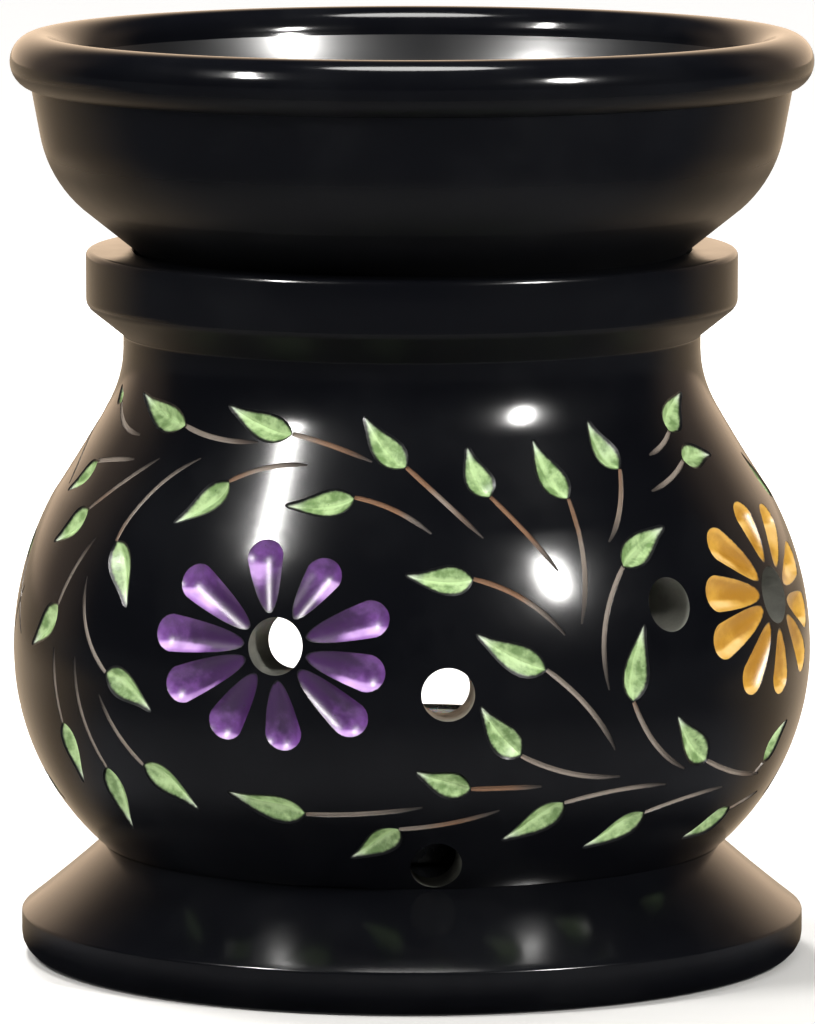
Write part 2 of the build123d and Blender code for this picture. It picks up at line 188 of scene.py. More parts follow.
class Finishes(bpy.types.PropertyGroup):
    """Colours of the stone, the paints and the tealight."""

    stone: colour("Stone", "Polished stone", (0.0022, 0.0024, 0.0034))
    stone_cloud: colour("Cloud", "Paler clouds in the polished stone", (0.0042, 0.0045, 0.0056))
    raw: colour("Raw stone", "Sawn and drilled stone", (0.170, 0.170, 0.147))
    raw_dark: colour("Raw stone, dark", "Darker grain of the sawn stone", (0.075, 0.075, 0.066))
    purple: colour("Purple", "Purple petals", (0.034, 0.006, 0.060))
    # The lilac also carries the painted light towards the tips and on up-facing walls; the pale
    # lilac is the colour of a painted highlight.
    purple_light: colour("Lilac", "Thin lilac paint at the tips", (0.200, 0.066, 0.330))
    purple_pale: colour("Pale lilac", "Chalky lilac on a petal's lower wall", (0.620, 0.400, 0.740))
    gold: colour("Gold", "Golden petals", (0.340, 0.155, 0.007))
    # The amber also carries the painted light towards the tips and on up-facing walls; the cream is
    # the colour of a painted highlight.
    gold_light: colour("Amber", "Thin amber paint at the tips", (0.620, 0.350, 0.045))
    gold_pale: colour("Cream", "Chalky cream on a petal's lower wall", (0.820, 0.560, 0.230))
    leaf: colour("Leaf", "Leaf green", (0.125, 0.215, 0.072))
    # The leaf light also colours the painted highlight along each leaf's midrib.
    leaf_strokes_and_highlight: colour("Leaf light", "Pale brush strokes in a leaf", (0.390, 0.540, 0.260))
    leaf_tip: colour("Leaf tip", "Bare pale point of a leaf", (0.600, 0.680, 0.540))
    stem: colour("Stem", "Tan stems", (0.230, 0.195, 0.165))
    stem_warm: colour("Stem, warm", "Redder brown of some stems", (0.190, 0.105, 0.060))
    stem_end: colour("Stem end", "Thin dark end of a stem", (0.045, 0.038, 0.034))
    wax: colour("Wax", "Candle wax", (0.850, 0.830, 0.760))
    cotton: colour("Cotton", "Cotton of the wick", (0.700, 0.640, 0.500))
    aluminium: colour("Aluminium", "Pressed cup", (0.800, 0.805, 0.815))
    steel: colour("Steel", "Wick tab", (0.480, 0.480, 0.490))


class StageSettings(bpy.types.PropertyGroup):
    """Floor, lamps and camera."""

    camera_distance: length("Camera distance", "From the camera to the axis", 964.2 * MM)
    camera_height: length("Camera height", "Camera over the floor", 170.06 * MM)
    camera_side: length("Camera side", "Camera left of the axis", 0.48 * MM)
    camera_pitch: angle("Camera pitch", "How far the camera looks down", 7.22)
    lens: FloatProperty(
        name="Lens", description="Focal length for a 36 mm sensor", default=315.3, unit="CAMERA"
    )
    soft_light: share("Soft light", "Strength of the even light from all round", 0.24)
    floor_radius: length("Floor radius", "Radius of the pale floor", 3.2)


class OilBurner(bpy.types.PropertyGroup):
    """All sizes and colours of the burner."""

    foot: PointerProperty(type=FootSizes, name="Foot", description="Foot")
    pot: PointerProperty(type=PotSizes, name="Pot", description="Pot")
    carving: PointerProperty(type=CarvingSizes, name="Carving", description="Carving")
    bowl: PointerProperty(type=BowlSizes, name="Bowl", description="Oil bowl")
    tealight: PointerProperty(type=TealightSizes, name="Tealight", description="Tealight")
    finish: PointerProperty(type=Finishes, name="Finishes", description="Colours")
    stage: PointerProperty(type=StageSettings, name="Stage", description="Floor and light")


# Places on the pot are (degrees from the front towards +X, millimetres over the floor).
VENTS = ((5, 34.2), (40, 42.2), (140, 33), (-140, 33))
LOW_VENTS = ((4, 15.1), (94, 15.1), (-86, 15.1))
FLOWERS = ((-19.5, 38.9, "purple"), (66, 41.2, "gold"), (-110, 38.8, "gold"))

# Petals are (degrees from +X round the eye, millimetres from the eye's middle to the tip).
PETALS = {
    "purple": (
        (17, 10.6), (57, 8.7), (104, 9.2), (149, 11.7), (177, 12.4),
        (203, 11.7), (236, 9.8), (276, 9.0), (318, 10.8), (346, 10.1),
    ),
    "gold": (
        (15, 10.2), (50, 9.4), (97, 8.3), (145, 10.8), (173, 11.6),
        (197, 12.0), (229, 10.4), (268, 8.6), (314, 10.0), (344, 10.1),
    ),
}

# A sprig is a leaf with its stem: leaf's heel, leaf's point, stem's far end, and how far
# the stem bows to the left of its way from the leaf, in millimetres.
SPRIGS = (
    # upper left of the front
    ((-47, 60), (-64.5, 62.5), (-29, 59), -0.5),
    ((-22.5, 60), (-37.5, 62.5), (-7, 57.5), 0.3),
    ((-1, 57), (-9, 62), (11, 50), 0.2),
    ((-32.5, 55), (-40.5, 50.5), (-18.5, 57), 0.7),
    ((-9.5, 54), (-21, 53), (3, 50.5), 0.7),
    # left side, fanning down and out
    ((-70, 55), (-76.5, 51.5), (-57, 56), 0.1),
    ((-63, 50.5), (-70.5, 46.5), (-50, 56.5), 0.3),
    ((-51.5, 48), (-45.5, 41.5), (-40, 57), 1.7),
    ((-62.5, 40.5), (-70.5, 35.5), (-57, 48), 0.3),
    ((-48.5, 34.5), (-39.5, 31), (-56, 44), 1.2),
    ((-60.5, 28), (-59.5, 21.5), (-62, 36), 0.2),
    ((-51, 24), (-51.5, 17), (-56, 35.5), 0.8),
    ((-42.5, 25), (-34, 20.5), (-50, 32), 0.5),
    # along the bottom
    ((-16, 21), (-28, 23), (1.5, 22), -0.3),
    ((-2, 19.5), (-10, 16), (13, 21.5), -0.4),
    ((8.5, 24), (0.5, 26), (19, 24), 0.0),
    ((23, 22), (14, 18), (40.5, 23), 0.5),
    ((38, 20), (28.5, 16.5), (54.5, 21.5), 0.4),
    ((60.5, 18.5), (50.5, 16), (69.5, 19.5), 0.0),
    # right half of the front
    ((13, 54), (10, 59), (22, 46.5), 0.3),
    ((26.5, 53.5), (22.5, 59.5), (24.7, 41), 0.6),
    ((38.5, 56), (35, 61), (31.5, 49), 0.5),
    ((55, 59), (65, 62.5), (46.5, 57), 0.3),
    ((55, 56), (65, 56), (43.5, 53.5), 0.3),
    ((9, 46), (-1, 46.5), (22, 40), 1.0),
    ((33, 46.5), (43, 50), (28.5, 34), -1.8),
    ((19, 36.5), (9, 40.5), (30, 27.5), 0.6),
    ((32.5, 32.5), (35, 40.5), (43.5, 24.5), -1.2),
    ((15.5, 27.5), (9.5, 33), (31.5, 24.5), -0.8),
    ((48, 25), (40.5, 30.5), (65, 22), -0.6),
    ((65.3, 23.2), (71, 27.2), (63, 22), 0.0),
    # left side and back
    ((-74.5, 61), (-79, 62.5), (-59, 58.4), -0.8),
    ((-88, 57), (-97, 60.5), (-78, 52), 0.6),
    ((-104, 57.5), (-113, 61), (-91, 54.5), 0.4),
    ((-119, 55.5), (-127.5, 59.5), (-106, 53.5), 0.5),
    ((-134, 53), (-142, 57.5), (-121, 52.5), -0.4),
    ((-84, 44), (-91.5, 47), (-77, 36), -0.8),
    ((-131, 45), (-138, 49.5), (-126, 35), 0.8),
    ((-147, 44), (-153, 48.5), (-136.5, 40.5), -0.5),
    ((-86, 33), (-93, 28.5), (-79.5, 41), 0.6),
    ((-97, 25.5), (-105, 22), (-83.5, 27.5), 0.5),
    ((-114, 23), (-123, 20.5), (-99, 20), -0.6),
    ((-130, 22), (-138.5, 19), (-116, 19.5), -0.5),
    ((-83, 20), (-75, 18), (-97, 19.5), 0.5),
    ((-157, 54.5), (-165, 58.5), (-143, 53), -0.4),
    ((-172.5, 54), (-180.5, 57.5), (-158, 52.5), -0.5),
    # right side and back
    ((88, 50), (82.5, 55), (95, 43), 0.5),
    ((101, 47), (94.5, 52), (106.5, 38), 0.8),
    ((116, 50), (109.5, 55), (121.5, 42), 0.6),
    ((104, 57.5), (112.5, 61), (92, 55), 0.5),
    ((122, 57), (130, 60.5), (107.5, 53.5), -0.5),
    ((139, 55), (147, 59), (125, 52.5), 0.5),
    ((157, 54.5), (165, 58.5), (142, 51.5), -0.5),
    ((133, 45), (127, 40.5), (141.5, 50), 0.6),
    ((147.5, 43.5), (153, 48.5), (138.5, 40.5), 0.4),
    ((92, 36), (87.5, 31), (98.5, 43.5), 0.6),
    ((108, 33), (101.5, 37), (115, 25.5), 0.6),
    ((124, 31), (117, 35), (131, 24.5), 0.5),
    ((95, 25), (87, 28), (107, 21), 0.4),
    ((84, 21.5), (76.5, 18.5), (95, 20.5), 0.4),
    ((113, 19.5), (105, 17), (126, 21), -0.3),
    ((130, 20.5), (122.5, 17.5), (141, 21), 0.3),
)

LAMP_AIM = 50 * MM
WARM_WHITE = (1.0, 0.985, 0.96)

# A lamp runs from a low to a high end, each (degrees from the front towards +X, degrees up)
# as the burner's middle sees it. Its width and distance are in metres and its power in
# watts, and a mirrored lamp shows in the gloss.
LAMPS = (
    ("lamp_left", (-51.2, 37), (-64.2, 55), 0.036, 0.62, 2.4, True),
    ("lamp_left_low", (-50.6, 35), (-51.8, 40), 0.060, 0.62, 1.0, True),
    ("lamp_right", (45, 22), (45, 36.5), 0.085, 0.62, 3.6, True),
    ("lamp_back_left", (-128, 62), (-128, 74), 0.16, 0.70, 3.5, False),
    ("lamp_behind", (-168, 24), (-168, 34), 0.16, 0.70, 7.0, False),
    ("lamp_top", (0, 80), (0, 100), 0.26, 0.62, 1.6, True),
    ("lamp_back_right", (128, 44), (128, 56), 0.10, 0.70, 0.8, False),
)


# Modelling helpers


def clear_selection():
    """Deselect every object and leave none active."""
    bpy.ops.object.select_all(action="DESELECT")
    bpy.context.view_layer.objects.active = None


def choose(*objects):
    """Select only these objects, the first of them active."""
    clear_selection()
    for item in objects:
        item.select_set(True)
    bpy.context.view_layer.objects.active = objects[0]


def new_piece(name):
    """Name the object that the last primitive made, and return it."""
    piece = bpy.context.active_object
    piece.name = name
    piece.data.name = name
    return piece


def cylinder(name, sides, radius, depth, location, rotation=(0, 0, 0)):
    """A cylinder that has its place and turn in its mesh."""
    clear_selection()
    bpy.ops.mesh.primitive_cylinder_add(
        vertices=sides, radius=radius, depth=depth, location=location, rotation=rotation
    )
    piece = new_piece(name)
    bpy.ops.object.transform_apply(location=True, rotation=True, scale=True)
    return piece


def pick_edges(piece, chosen):
    """Go to edit mode with only the edges selected that chosen(edge) picks."""
    choose(piece)
    bpy.ops.object.mode_set(mode="EDIT")
    bpy.ops.mesh.select_mode(type="EDGE")
    bpy.ops.mesh.select_all(action="DESELECT")
    bpy.ops.object.mode_set(mode="OBJECT")
    for edge in piece.data.edges:
        edge.select = chosen(edge)
    bpy.ops.object.mode_set(mode="EDIT")


def cut_long_edges(piece, cuts, axis, longer):
    """Cut each edge that runs further than longer along an axis into equal lengths."""
    spots = [vertex.co[axis] for vertex in piece.data.vertices]
    pick_edges(piece, lambda edge: abs(spots[edge.vertices[0]] - spots[edge.vertices[1]]) > longer)
    bpy.ops.mesh.subdivide(number_cuts=cuts)
    bpy.ops.mesh.select_mode(type="VERT")
    bpy.ops.object.mode_set(mode="OBJECT")


def turned(name, outline, steps=256):
    """Turn an outline of (radius, height) points about Z into a closed solid."""
    clear_selection()
    bpy.ops.mesh.primitive_circle_add(vertices=len(outline), radius=1)
    piece = new_piece(name)
    for vertex, (radius, height) in zip(piece.data.vertices, outline):
        vertex.co = (radius, 0, height)
    ends = {0, len(outline) - 1}
    if all(outline[end][0] == 0 for end in ends):
        pick_edges(piece, lambda edge: set(edge.vertices) == ends)
        bpy.ops.mesh.delete(type="EDGE")
        bpy.ops.mesh.select_mode(type="VERT")
    else:
        bpy.ops.object.mode_set(mode="EDIT")
    bpy.ops.mesh.select_all(action="SELECT")
    bpy.ops.mesh.spin(
        steps=steps, angle=FULL_TURN, center=(0, 0, 0), axis=(0, 0, 1), use_auto_merge=True
    )
    bpy.ops.mesh.select_all(action="SELECT")
    bpy.ops.mesh.remove_doubles(threshold=1e-6)
    bpy.ops.mesh.normals_make_consistent(inside=False)
    bpy.ops.object.mode_set(mode="OBJECT")
    return piece


def eased(corners, segments=5):
    """Outline through (radius, height, round) corners, each turned with its round."""
    points = []
    for index, (radius, height, ease) in enumerate(corners):
        here = Vector((radius, height))
        if ease == 0:
            points.append((radius, height))
            continue
        before = (Vector(corners[index - 1][:2]) - here).normalized()
        after = (Vector(corners[(index + 1) % len(corners)][:2]) - here).normalized()
        corner = before.angle(after)
        centre = here + (before + after).normalized() * ease / sin(corner / 2)
        first = here + before * ease / tan(corner / 2) - centre
        last = here + after * ease / tan(corner / 2) - centre
        sweep = pi - corner
        for step in range(segments + 1):
            part = step / segments
            arm = first * sin((1 - part) * sweep) + last * sin(part * sweep)
            points.append(tuple(centre + arm / sin(sweep)))
    return points


def plain(points):
    """Outline points as corners without a round."""
    return [(radius, height, 0) for radius, height in points]


def arc(centre, radius, first, sweep, steps):
    """Points along an arc, both ends included, from a first angle through a sweep."""
    turns = [first + sweep * step / steps for step in range(steps + 1)]
    return [(centre[0] + radius * cos(turn), centre[1] + radius * sin(turn)) for turn in turns]


def arc_through(start, middle, end, steps):
    """Points inside the arc from start to end that passes through middle."""
    (ax, ay), (bx, by), (cx, cy) = start, middle, end
    span = 2 * (ax * (by - cy) + bx * (cy - ay) + cx * (ay - by))
    a2, b2, c2 = ax * ax + ay * ay, bx * bx + by * by, cx * cx + cy * cy
    ux = (a2 * (by - cy) + b2 * (cy - ay) + c2 * (ay - by)) / span
    uy = (a2 * (cx - bx) + b2 * (ax - cx) + c2 * (bx - ax)) / span
    first, half, last = (atan2(y - uy, x - ux) for x, y in (start, middle, end))
    sweep = (last - first) % FULL_TURN
    if (half - first) % FULL_TURN > sweep:
        sweep -= FULL_TURN
    return arc((ux, uy), hypot(ax - ux, ay - uy), first, sweep, steps)[1:-1]


def finish_piece(piece, body, node_name, slot_name, *materials):
    """Smooth a piece, give it its materials, and tie it to the frame."""
    choose(piece)
    bpy.ops.object.shade_smooth_by_angle(angle=SMOOTH_BELOW)
    for material in materials:
        piece.data.materials.append(material)
    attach(piece, body)
    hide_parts(node_name)


# The pot's surface


def pot_surface(sizes, height):
    """Radius of the pot's outside at a height, and how far it faces up, in radians."""
    rise = height - sizes.equator
    bend = sizes.upper_arc if rise > 0 else sizes.lower_arc
    shoulder_rise = sizes.upper_arc * sin(sizes.shoulder)
    if rise <= shoulder_rise:
        return sizes.bulb_radius - bend + sqrt(bend**2 - rise**2), asin(rise / bend)
    neck = sizes.bulb_radius - sizes.neck_step
    step = sizes.neck_step - sizes.upper_arc * (1 - cos(sizes.shoulder))
    part = (rise - shoulder_rise) / sizes.shoulder_rise
    sink = 4 * sizes.shoulder_hollow / cos(atan2(step, sizes.shoulder_rise))
    proud = step * (1 - part) - sink * part * (1 - part)
    fall = (step + sink * (1 - 2 * part)) / sizes.shoulder_rise
    if proud < sizes.neck_ease:
        ease = max(0.0, (proud + sizes.neck_ease) / (2 * sizes.neck_ease))
        proud = sizes.neck_ease * ease**2
        fall *= ease
    return neck + proud, atan2(fall, 1)


def neck_top(sizes):
    """Height of the neck's top, where the collar's slope starts."""
    shoulder = sizes.upper_arc * sin(sizes.shoulder)
    return sizes.equator + shoulder + sizes.shoulder_rise + sizes.neck_height


def on_pot(sizes, turn, height, lift):
    """Point on the pot at a turn in radians, lifted off the stone by lift."""
    radius, tilt = pot_surface(sizes, height)
    radius += lift * cos(tilt)
    return Vector((radius * sin(turn), -radius * cos(turn), height + lift * sin(tilt)))


def off_axis(spot):
    """Distance of a point from the Z axis."""
    return hypot(spot.x, spot.y)


class SurfacePath:
    """A bowed way over the pot from one (turn, height) to another."""

    def __init__(self, sizes, start, end, bow):
        self.sizes = sizes
        self.radius, tilt = pot_surface(sizes, (start[1] + end[1]) / 2)
        self.squeeze = cos(tilt)
        first = self.flat(start)
        last = self.flat(end)
        way = last - first
        self.length = way.length
        left = Vector((-way.y, way.x)).normalized()
        self.points = (first, (first + last) / 2 + left * bow * 2, last)

    def flat(self, place):
        """A (turn, height) as true lengths on the unrolled pot."""
        return Vector((place[0] * self.radius, place[1] / self.squeeze))

    def place(self, part, across, lift):
        """Point at a share of the way, moved to the left by across and out by lift."""
        first, control, last = self.points
        spot = first * (1 - part) ** 2 + control * 2 * part * (1 - part) + last * part**2
        way = ((control - first) * (1 - part) + (last - control) * part).normalized()
        spot += Vector((-way.y, way.x)) * across
        return on_pot(self.sizes, spot.x / self.radius, spot.y * self.squeeze, lift)


# Tools that cut the pot


def fill_slot(piece, slot_index):
    """Put every face of a piece in one material slot."""
    for polygon in piece.data.polygons:
        polygon.material_index = slot_index


def own_copy(tool, name, slot_index, place_uv):
    """Copy a tool with its own mesh, in one slot, with place_uv(corner) for its UVs."""
    copy = tool.copy()
    copy.data = tool.data.copy()
    copy.name = name
    bpy.context.scene.collection.objects.link(copy)
    fill_slot(copy, slot_index)
    layer = copy.data.uv_layers.active or copy.data.uv_layers.new(name="UVMap")
    for loop in copy.data.loops:
        layer.data[loop.index].uv = place_uv(copy.data.vertices[loop.vertex_index].co)
    return copy


def carving_tool(name, sides, cuts):
    """A bar along X from 0 to 1, cut across, whose section is later set to a gouge."""
    tool = cylinder(name, sides, radius=1, depth=1, location=(0.5, 0, 0), rotation=ALONG_X)
    cut_long_edges(tool, cuts, axis=0, longer=0.5)
    return tool


def laid_copy(tool, name, move, slot_index):
    """Copy a carving tool and move each of its corners to move(corner)."""
    copy = own_copy(tool, name, slot_index, lambda spot: (spot.x, 0.5 + 0.5 * spot.y))
    for vertex in copy.data.vertices:
        vertex.co = move(vertex.co)
    return copy


def leaf_outline(part):
    """Half-width of a leaf at a share of its length, as a share of its widest."""
    blunt_power, point_power, widest_share = 0.75, 1.75, 0.3
    widest = widest_share**blunt_power * (1 - widest_share) ** point_power
    return part**blunt_power * (1 - part) ** point_power / widest


def tail_outline(part):
    """Half-width of a leaf's rounded tail at a share of its length, as a share of its widest."""
    round_share, blunt_share = 0.1, 0.06
    past = max(0.0, part - 1 + round_share) / round_share
    return part * sqrt(max(blunt_share, 1 - past**2))


def stem_outline(part):
    """Width of a stem at a share of its length: full at the leaf, thin at its end."""
    return min(1.0, 0.8 + 2 * part) * min(1.0, 0.4 + 3 * (1 - part))


def cut_leaf(tool, name, sizes, carving, heel, point, slot_index):
    """Lay a V-shaped leaf gouge from heel to point, smaller on a short leaf."""
    bow, proud, full_length = 0.35 * MM, 0.35 * MM, 6.5 * MM
    path = SurfacePath(sizes, heel, point, bow)
    half = carving.leaf_width / 2 * min(1.0, path.length / full_length)
    depth = carving.leaf_depth * min(1.0, path.length / full_length)

    def move(spot):
        part = (1 - cos(pi * spot.x)) / 2
        width = half * leaf_outline(part) + carving.leaf_tail / 2 * tail_outline(part)
        if spot.z > 0:
            side = 1 if spot.y > 0 else -1
            return path.place(part, side * (width + proud * half / depth), proud)
        return path.place(part, 0, -depth * width / half)

    return laid_copy(tool, name, move, slot_index)


def cut_stem(tool, name, sizes, carving, start, end, bow, slot_index):
    """Lay a round-bottomed stem groove from a leaf's heel to its far end."""
    path = SurfacePath(sizes, start, end, bow)

    def move(spot):
        width = carving.stem_width * stem_outline(spot.x)
        depth = carving.stem_depth * stem_outline(spot.x)
        return path.place(spot.x, spot.y * width / 2, spot.z * depth)

    return laid_copy(tool, name, move, slot_index)


def petal_tool(carving):
    """A gouge along Z, one unit of length from the middle of its heel to that of its tip."""
    outline = arc((0, 0), carving.heel_round, -pi / 2, pi / 2, steps=6)
    outline += arc((0, 1), carving.tip_round, 0, pi / 2, steps=8)
    outline[0] = (0, outline[0][1])
    outline[-1] = (0, outline[-1][1])
    gouge = turned("petal_gouge", outline, steps=40)
    cut_long_edges(gouge, 7, axis=2, longer=0.5)
    return gouge


def cut_petal(gouge, name, sizes, carving, flower, petal, slot_index):
    """Lay one gouge from a flower's eye outwards."""
    turn, height = radians(flower[0]), flower[1] * MM
    way, reach = radians(petal[0]), petal[1] * MM
    radius = pot_surface(sizes, height)[0]
    heel, tip = (
        on_pot(sizes, turn + step * cos(way) / radius, height + step * sin(way), carving.lift)
        for step in (carving.heel_reach, reach)
    )
    run = (tip - heel).length
    whole = carving.tip_round + run + carving.heel_round

    def stretched(rise):
        return rise + (run - 1) * min(1.0, max(0.0, rise))

    def place_uv(spot):
        part = (stretched(spot.z) + carving.heel_round) / whole
        return part, atan2(spot.y, spot.x) / FULL_TURN + 0.5

    copy = own_copy(gouge, name, slot_index, place_uv)
    for vertex in copy.data.vertices:
        vertex.co.z = stretched(vertex.co.z)
    turning = (tip - heel).to_track_quat("Z", "Y").to_matrix().to_4x4()
    copy.data.transform(Matrix.Translation(heel) @ turning)
    return copy


def drill(name, sizes, turn, height, diameter, slot_index):
    """A level drill bit that runs from inside the chamber out through the wall."""
    reach = sizes.bulb_radius / 2
    middle = (0, -1.6 * reach, 0)
    bit = cylinder(name, 64, diameter / 2, reach, middle, ALONG_Y)
    bit.data.transform(Matrix.Translation((0, 0, height)) @ Matrix.Rotation(turn, 4, "Z"))
    fill_slot(bit, slot_index)
    return bit


def doorway_tool(sizes, slot_index):
    """An arched block that cuts the doorway, from the pot's middle out through the back."""
    past_wall, past_seat, hair = 5 * MM, 1 * MM, 0.001 * MM
    reach = sizes.bulb_radius + past_wall
    spring = pot_low.z + sizes.doorway_post
    floor = pot_low.z - past_seat
    half = sizes.doorway_half
    tool = cylinder("doorway_tool", 96, half, reach, (0, reach / 2, spring), ALONG_Y)
    for vertex in tool.data.vertices:
        if vertex.co.z < spring - hair:
            side = 1 if vertex.co.x > 0 else -1
            drop = asin(min(1.0, (spring - vertex.co.z) / half)) / (pi / 2)
            vertex.co.x = side * half * min(1.0, 2 - 2 * drop)
            vertex.co.z = spring - (spring - floor) * min(1.0, 2 * drop)
    fill_slot(tool, slot_index)
    return tool


def apart(low, high, other_low, other_high):
    """True where two boxes don't touch."""
    return any(high[axis] < other_low[axis] or other_high[axis] < low[axis] for axis in range(3))


def in_rounds(cutters):
    """Sort tools into rounds in which no two touch, by their boxes, in the order given."""
    rounds = []
    for cutter in cutters:
        spots = [vertex.co for vertex in cutter.data.vertices]
        low = Vector(min(spot[axis] for spot in spots) for axis in range(3))
        high = Vector(max(spot[axis] for spot in spots) for axis in range(3))
        for members in rounds:
            if all(apart(low, high, *box) for _, *box in members):
                members.append((cutter, low, high))
                break
        else:
            rounds.append([(cutter, low, high)])
    return [[cutter for cutter, *_ in members] for members in rounds]


def carve(piece, cutters):
    """Cut the tools out of a piece in a few Booleans, each tool leaving its own material."""
    for members in in_rounds(cutters):
        for cutter in members:
            for material in piece.data.materials[len(cutter.data.materials):]:
                cutter.data.materials.append(material)
        choose(*members)
        if len(members) > 1:
            bpy.ops.object.join()
        joined = bpy.context.active_object
        choose(piece)
        cut = piece.modifiers.new("cut", "BOOLEAN")
        cut.operation, cut.solver, cut.material_mode = "DIFFERENCE", "EXACT", "INDEX"
        cut.object = joined
        bpy.ops.object.modifier_apply(modifier=cut.name)
        bpy.data.objects.remove(joined)


# Shader helpers


def feed(tree, socket, value):
    """Link a socket to another node's output, or set it to a value."""
    if isinstance(value, bpy.types.NodeSocket):
        tree.links.new(value, socket)
    elif socket.type == "RGBA":
        socket.default_value = (*value[:3], 1)
    else:
        socket.default_value = value


def wire(tree, item, **sockets):
    """Feed a node's sockets by name, and return the node."""
    for key, value in sockets.items():
        feed(tree, item.inputs[key.replace("_", " ")], value)
    return item


def put(tree, kind, settings=None, **sockets):
    """Add a shader node with these settings and sockets."""
    item = tree.nodes.new("ShaderNode" + kind)
    for key, value in (settings or {}).items():
        setattr(item, key, value)
    return wire(tree, item, **sockets)


def calc(tree, operation, first, second=0.0):
    """Result of a Math node on one or two values."""
    item = put(tree, "Math", {"operation": operation})
    feed(tree, item.inputs[0], first)
    feed(tree, item.inputs[1], second)
    return item.outputs[0]


def add(tree, first, second):
    """Sum of two values."""
    return calc(tree, "ADD", first, second)


def times(tree, first, second):
    """Product of two values."""
    return calc(tree, "MULTIPLY", first, second)


def blend_colour(tree, factor, first, second):
    """Mix of two colours."""
    item = put(tree, "Mix", {"data_type": "RGBA"})
    for index, value in ((0, factor), (6, first), (7, second)):
        feed(tree, item.inputs[index], value)
    return item.outputs[2]


def ramp(tree, value, low, high, to_low=0.0, to_high=1.0):
    """Smooth step of a value between two levels."""
    item = put(
        tree, "MapRange", {"interpolation_type": "SMOOTHSTEP"}, Value=value,
        From_Min=low, From_Max=high, To_Min=to_low, To_Max=to_high,
    )
    return item.outputs[0]


def noise(tree, vector, scale, detail=3.0, roughness=0.55):
    """Value of a noise pattern."""
    item = put(tree, "TexNoise", Vector=vector, Scale=scale, Detail=detail, Roughness=roughness)
    return item.outputs[0]


def object_place(tree):
    """Object coordinates."""
    return put(tree, "TexCoord").outputs["Object"]


def parts_of(tree, kind):
    """X, Y and Z of one of Texture Coordinate's outputs."""
    return put(tree, "SeparateXYZ", Vector=put(tree, "TexCoord").outputs[kind]).outputs


def radius_of(tree, spot):
    """Distance of a place from the Z axis."""
    return calc(tree, "SQRT", add(tree, *(times(tree, spot[axis], spot[axis]) for axis in (0, 1))))


def new_material(name):
    """A material with only a Principled shader and its output."""
    material = bpy.data.materials.new(name)
    material.use_nodes = True
    tree = material.node_tree
    return material, tree, tree.nodes["Principled BSDF"]


def dress(tree, shader, tint, rough, height, strength, relief, **sockets):
    """Give a shader its colour, roughness, a bump as high as relief, and other sockets."""
    bump = put(tree, "Bump", Height=height, Strength=strength, Distance=relief).outputs[0]
    wire(tree, shader, Base_Color=tint, Roughness=rough, Normal=bump, **sockets)


# Shader groups that the materials share


def group(name, inputs, outputs):
    """An empty shader group, its input node's sockets and its output node."""
    tree = bpy.data.node_groups.new(name, "ShaderNodeTree")
    for key, kind, default in inputs:
        kind = "NodeSocket" + kind
        socket = tree.interface.new_socket(name=key, in_out="INPUT", socket_type=kind)
        socket.default_value = default
    for key, kind in outputs:
        kind = "NodeSocket" + kind
        tree.interface.new_socket(name=key, in_out="OUTPUT", socket_type=kind)
    entry = tree.nodes.new("NodeGroupInput")
    exit_node = tree.nodes.new("NodeGroupOutput")
    return tree, entry.outputs, exit_node


def clouds_group(name):
    """Clouds, smears and dust of a stone, on the piece's own coordinates."""
    tree, given, out = group(
        name,
        [("Cloud scale", "Float", 60.0), ("Grain scale", "Float", 1500.0)],
        [("Cloud", "Float"), ("Smear", "Float"), ("Grain", "Float")],
    )
    place = object_place(tree)
    scale = given["Cloud scale"]
    wire(
        tree, out,
        Cloud=ramp(tree, noise(tree, place, scale, 6.0, 0.6), 0.42, 0.72),
        Smear=noise(tree, place, times(tree, scale, 2.3), 4.0, 0.5),
        Grain=noise(tree, place, given["Grain scale"], 3.0, 0.7),
    )
    return tree


def lathe_group(name):
    """Rings that a lathe tool leaves, as a height that follows radius and height."""
    tree, given, out = group(name, [("Ring scale", "Float", 900.0)], [("Height", "Float")])
    spot = parts_of(tree, "Object")
    rings = put(tree, "CombineXYZ", X=radius_of(tree, spot), Z=spot[2]).outputs[0]
    wire(tree, out, Height=noise(tree, rings, given["Ring scale"], 2.0, 0.6))
    return tree


def paint_group(name):
    """Brushed paint in a cut: two tints, thin and worn where the cut runs out."""
    tree, given, out = group(
        name,
        [
            ("Tint", "Color", (1, 1, 1, 1)),
            ("Light tint", "Color", (1, 1, 1, 1)),
            ("Stone", "Color", (0, 0, 0, 1)),
            ("Depth", "Float", 1.0),
            ("Fade", "Float", 0.13),
            ("Lightness", "Float", 0.5),
            ("Mottle", "Float", 2.6),
        ],
        [("Color", "Color"), ("Roughness", "Float"), ("Height", "Float")],
    )
    place = object_place(tree)
    strokes = noise(tree, place, 650.0, 4.0, 0.65)
    fine = noise(tree, place, 2600.0, 2.0, 0.6)
    mottle = times(tree, calc(tree, "SUBTRACT", strokes, 0.5), given["Mottle"])
    light = ramp(tree, add(tree, given["Lightness"], mottle), 0.0, 1.0)
    tint = blend_colour(tree, light, given["Tint"], given["Light tint"])
    ragged = add(tree, given["Depth"], times(tree, fine, 0.10))
    cover = ramp(tree, calc(tree, "DIVIDE", ragged, given["Fade"]), 0.45, 1.0)
    chips = ramp(tree, noise(tree, place, 1400.0, 3.0, 0.6), 0.70, 0.74, 1.0, 0.25)
    cover = times(tree, cover, chips)
    wire(
        tree, out,
        Color=blend_colour(tree, cover, given["Stone"], tint),
        Roughness=ramp(tree, fine, 0.3, 0.7, 0.30, 0.46),
        Height=add(tree, times(tree, strokes, 0.6), times(tree, cover, 0.4)),
    )
    return tree


SHARED_GROUPS = {
    "stone_clouds": clouds_group,
    "lathe_rings": lathe_group,
    "brushed_paint": paint_group,
}


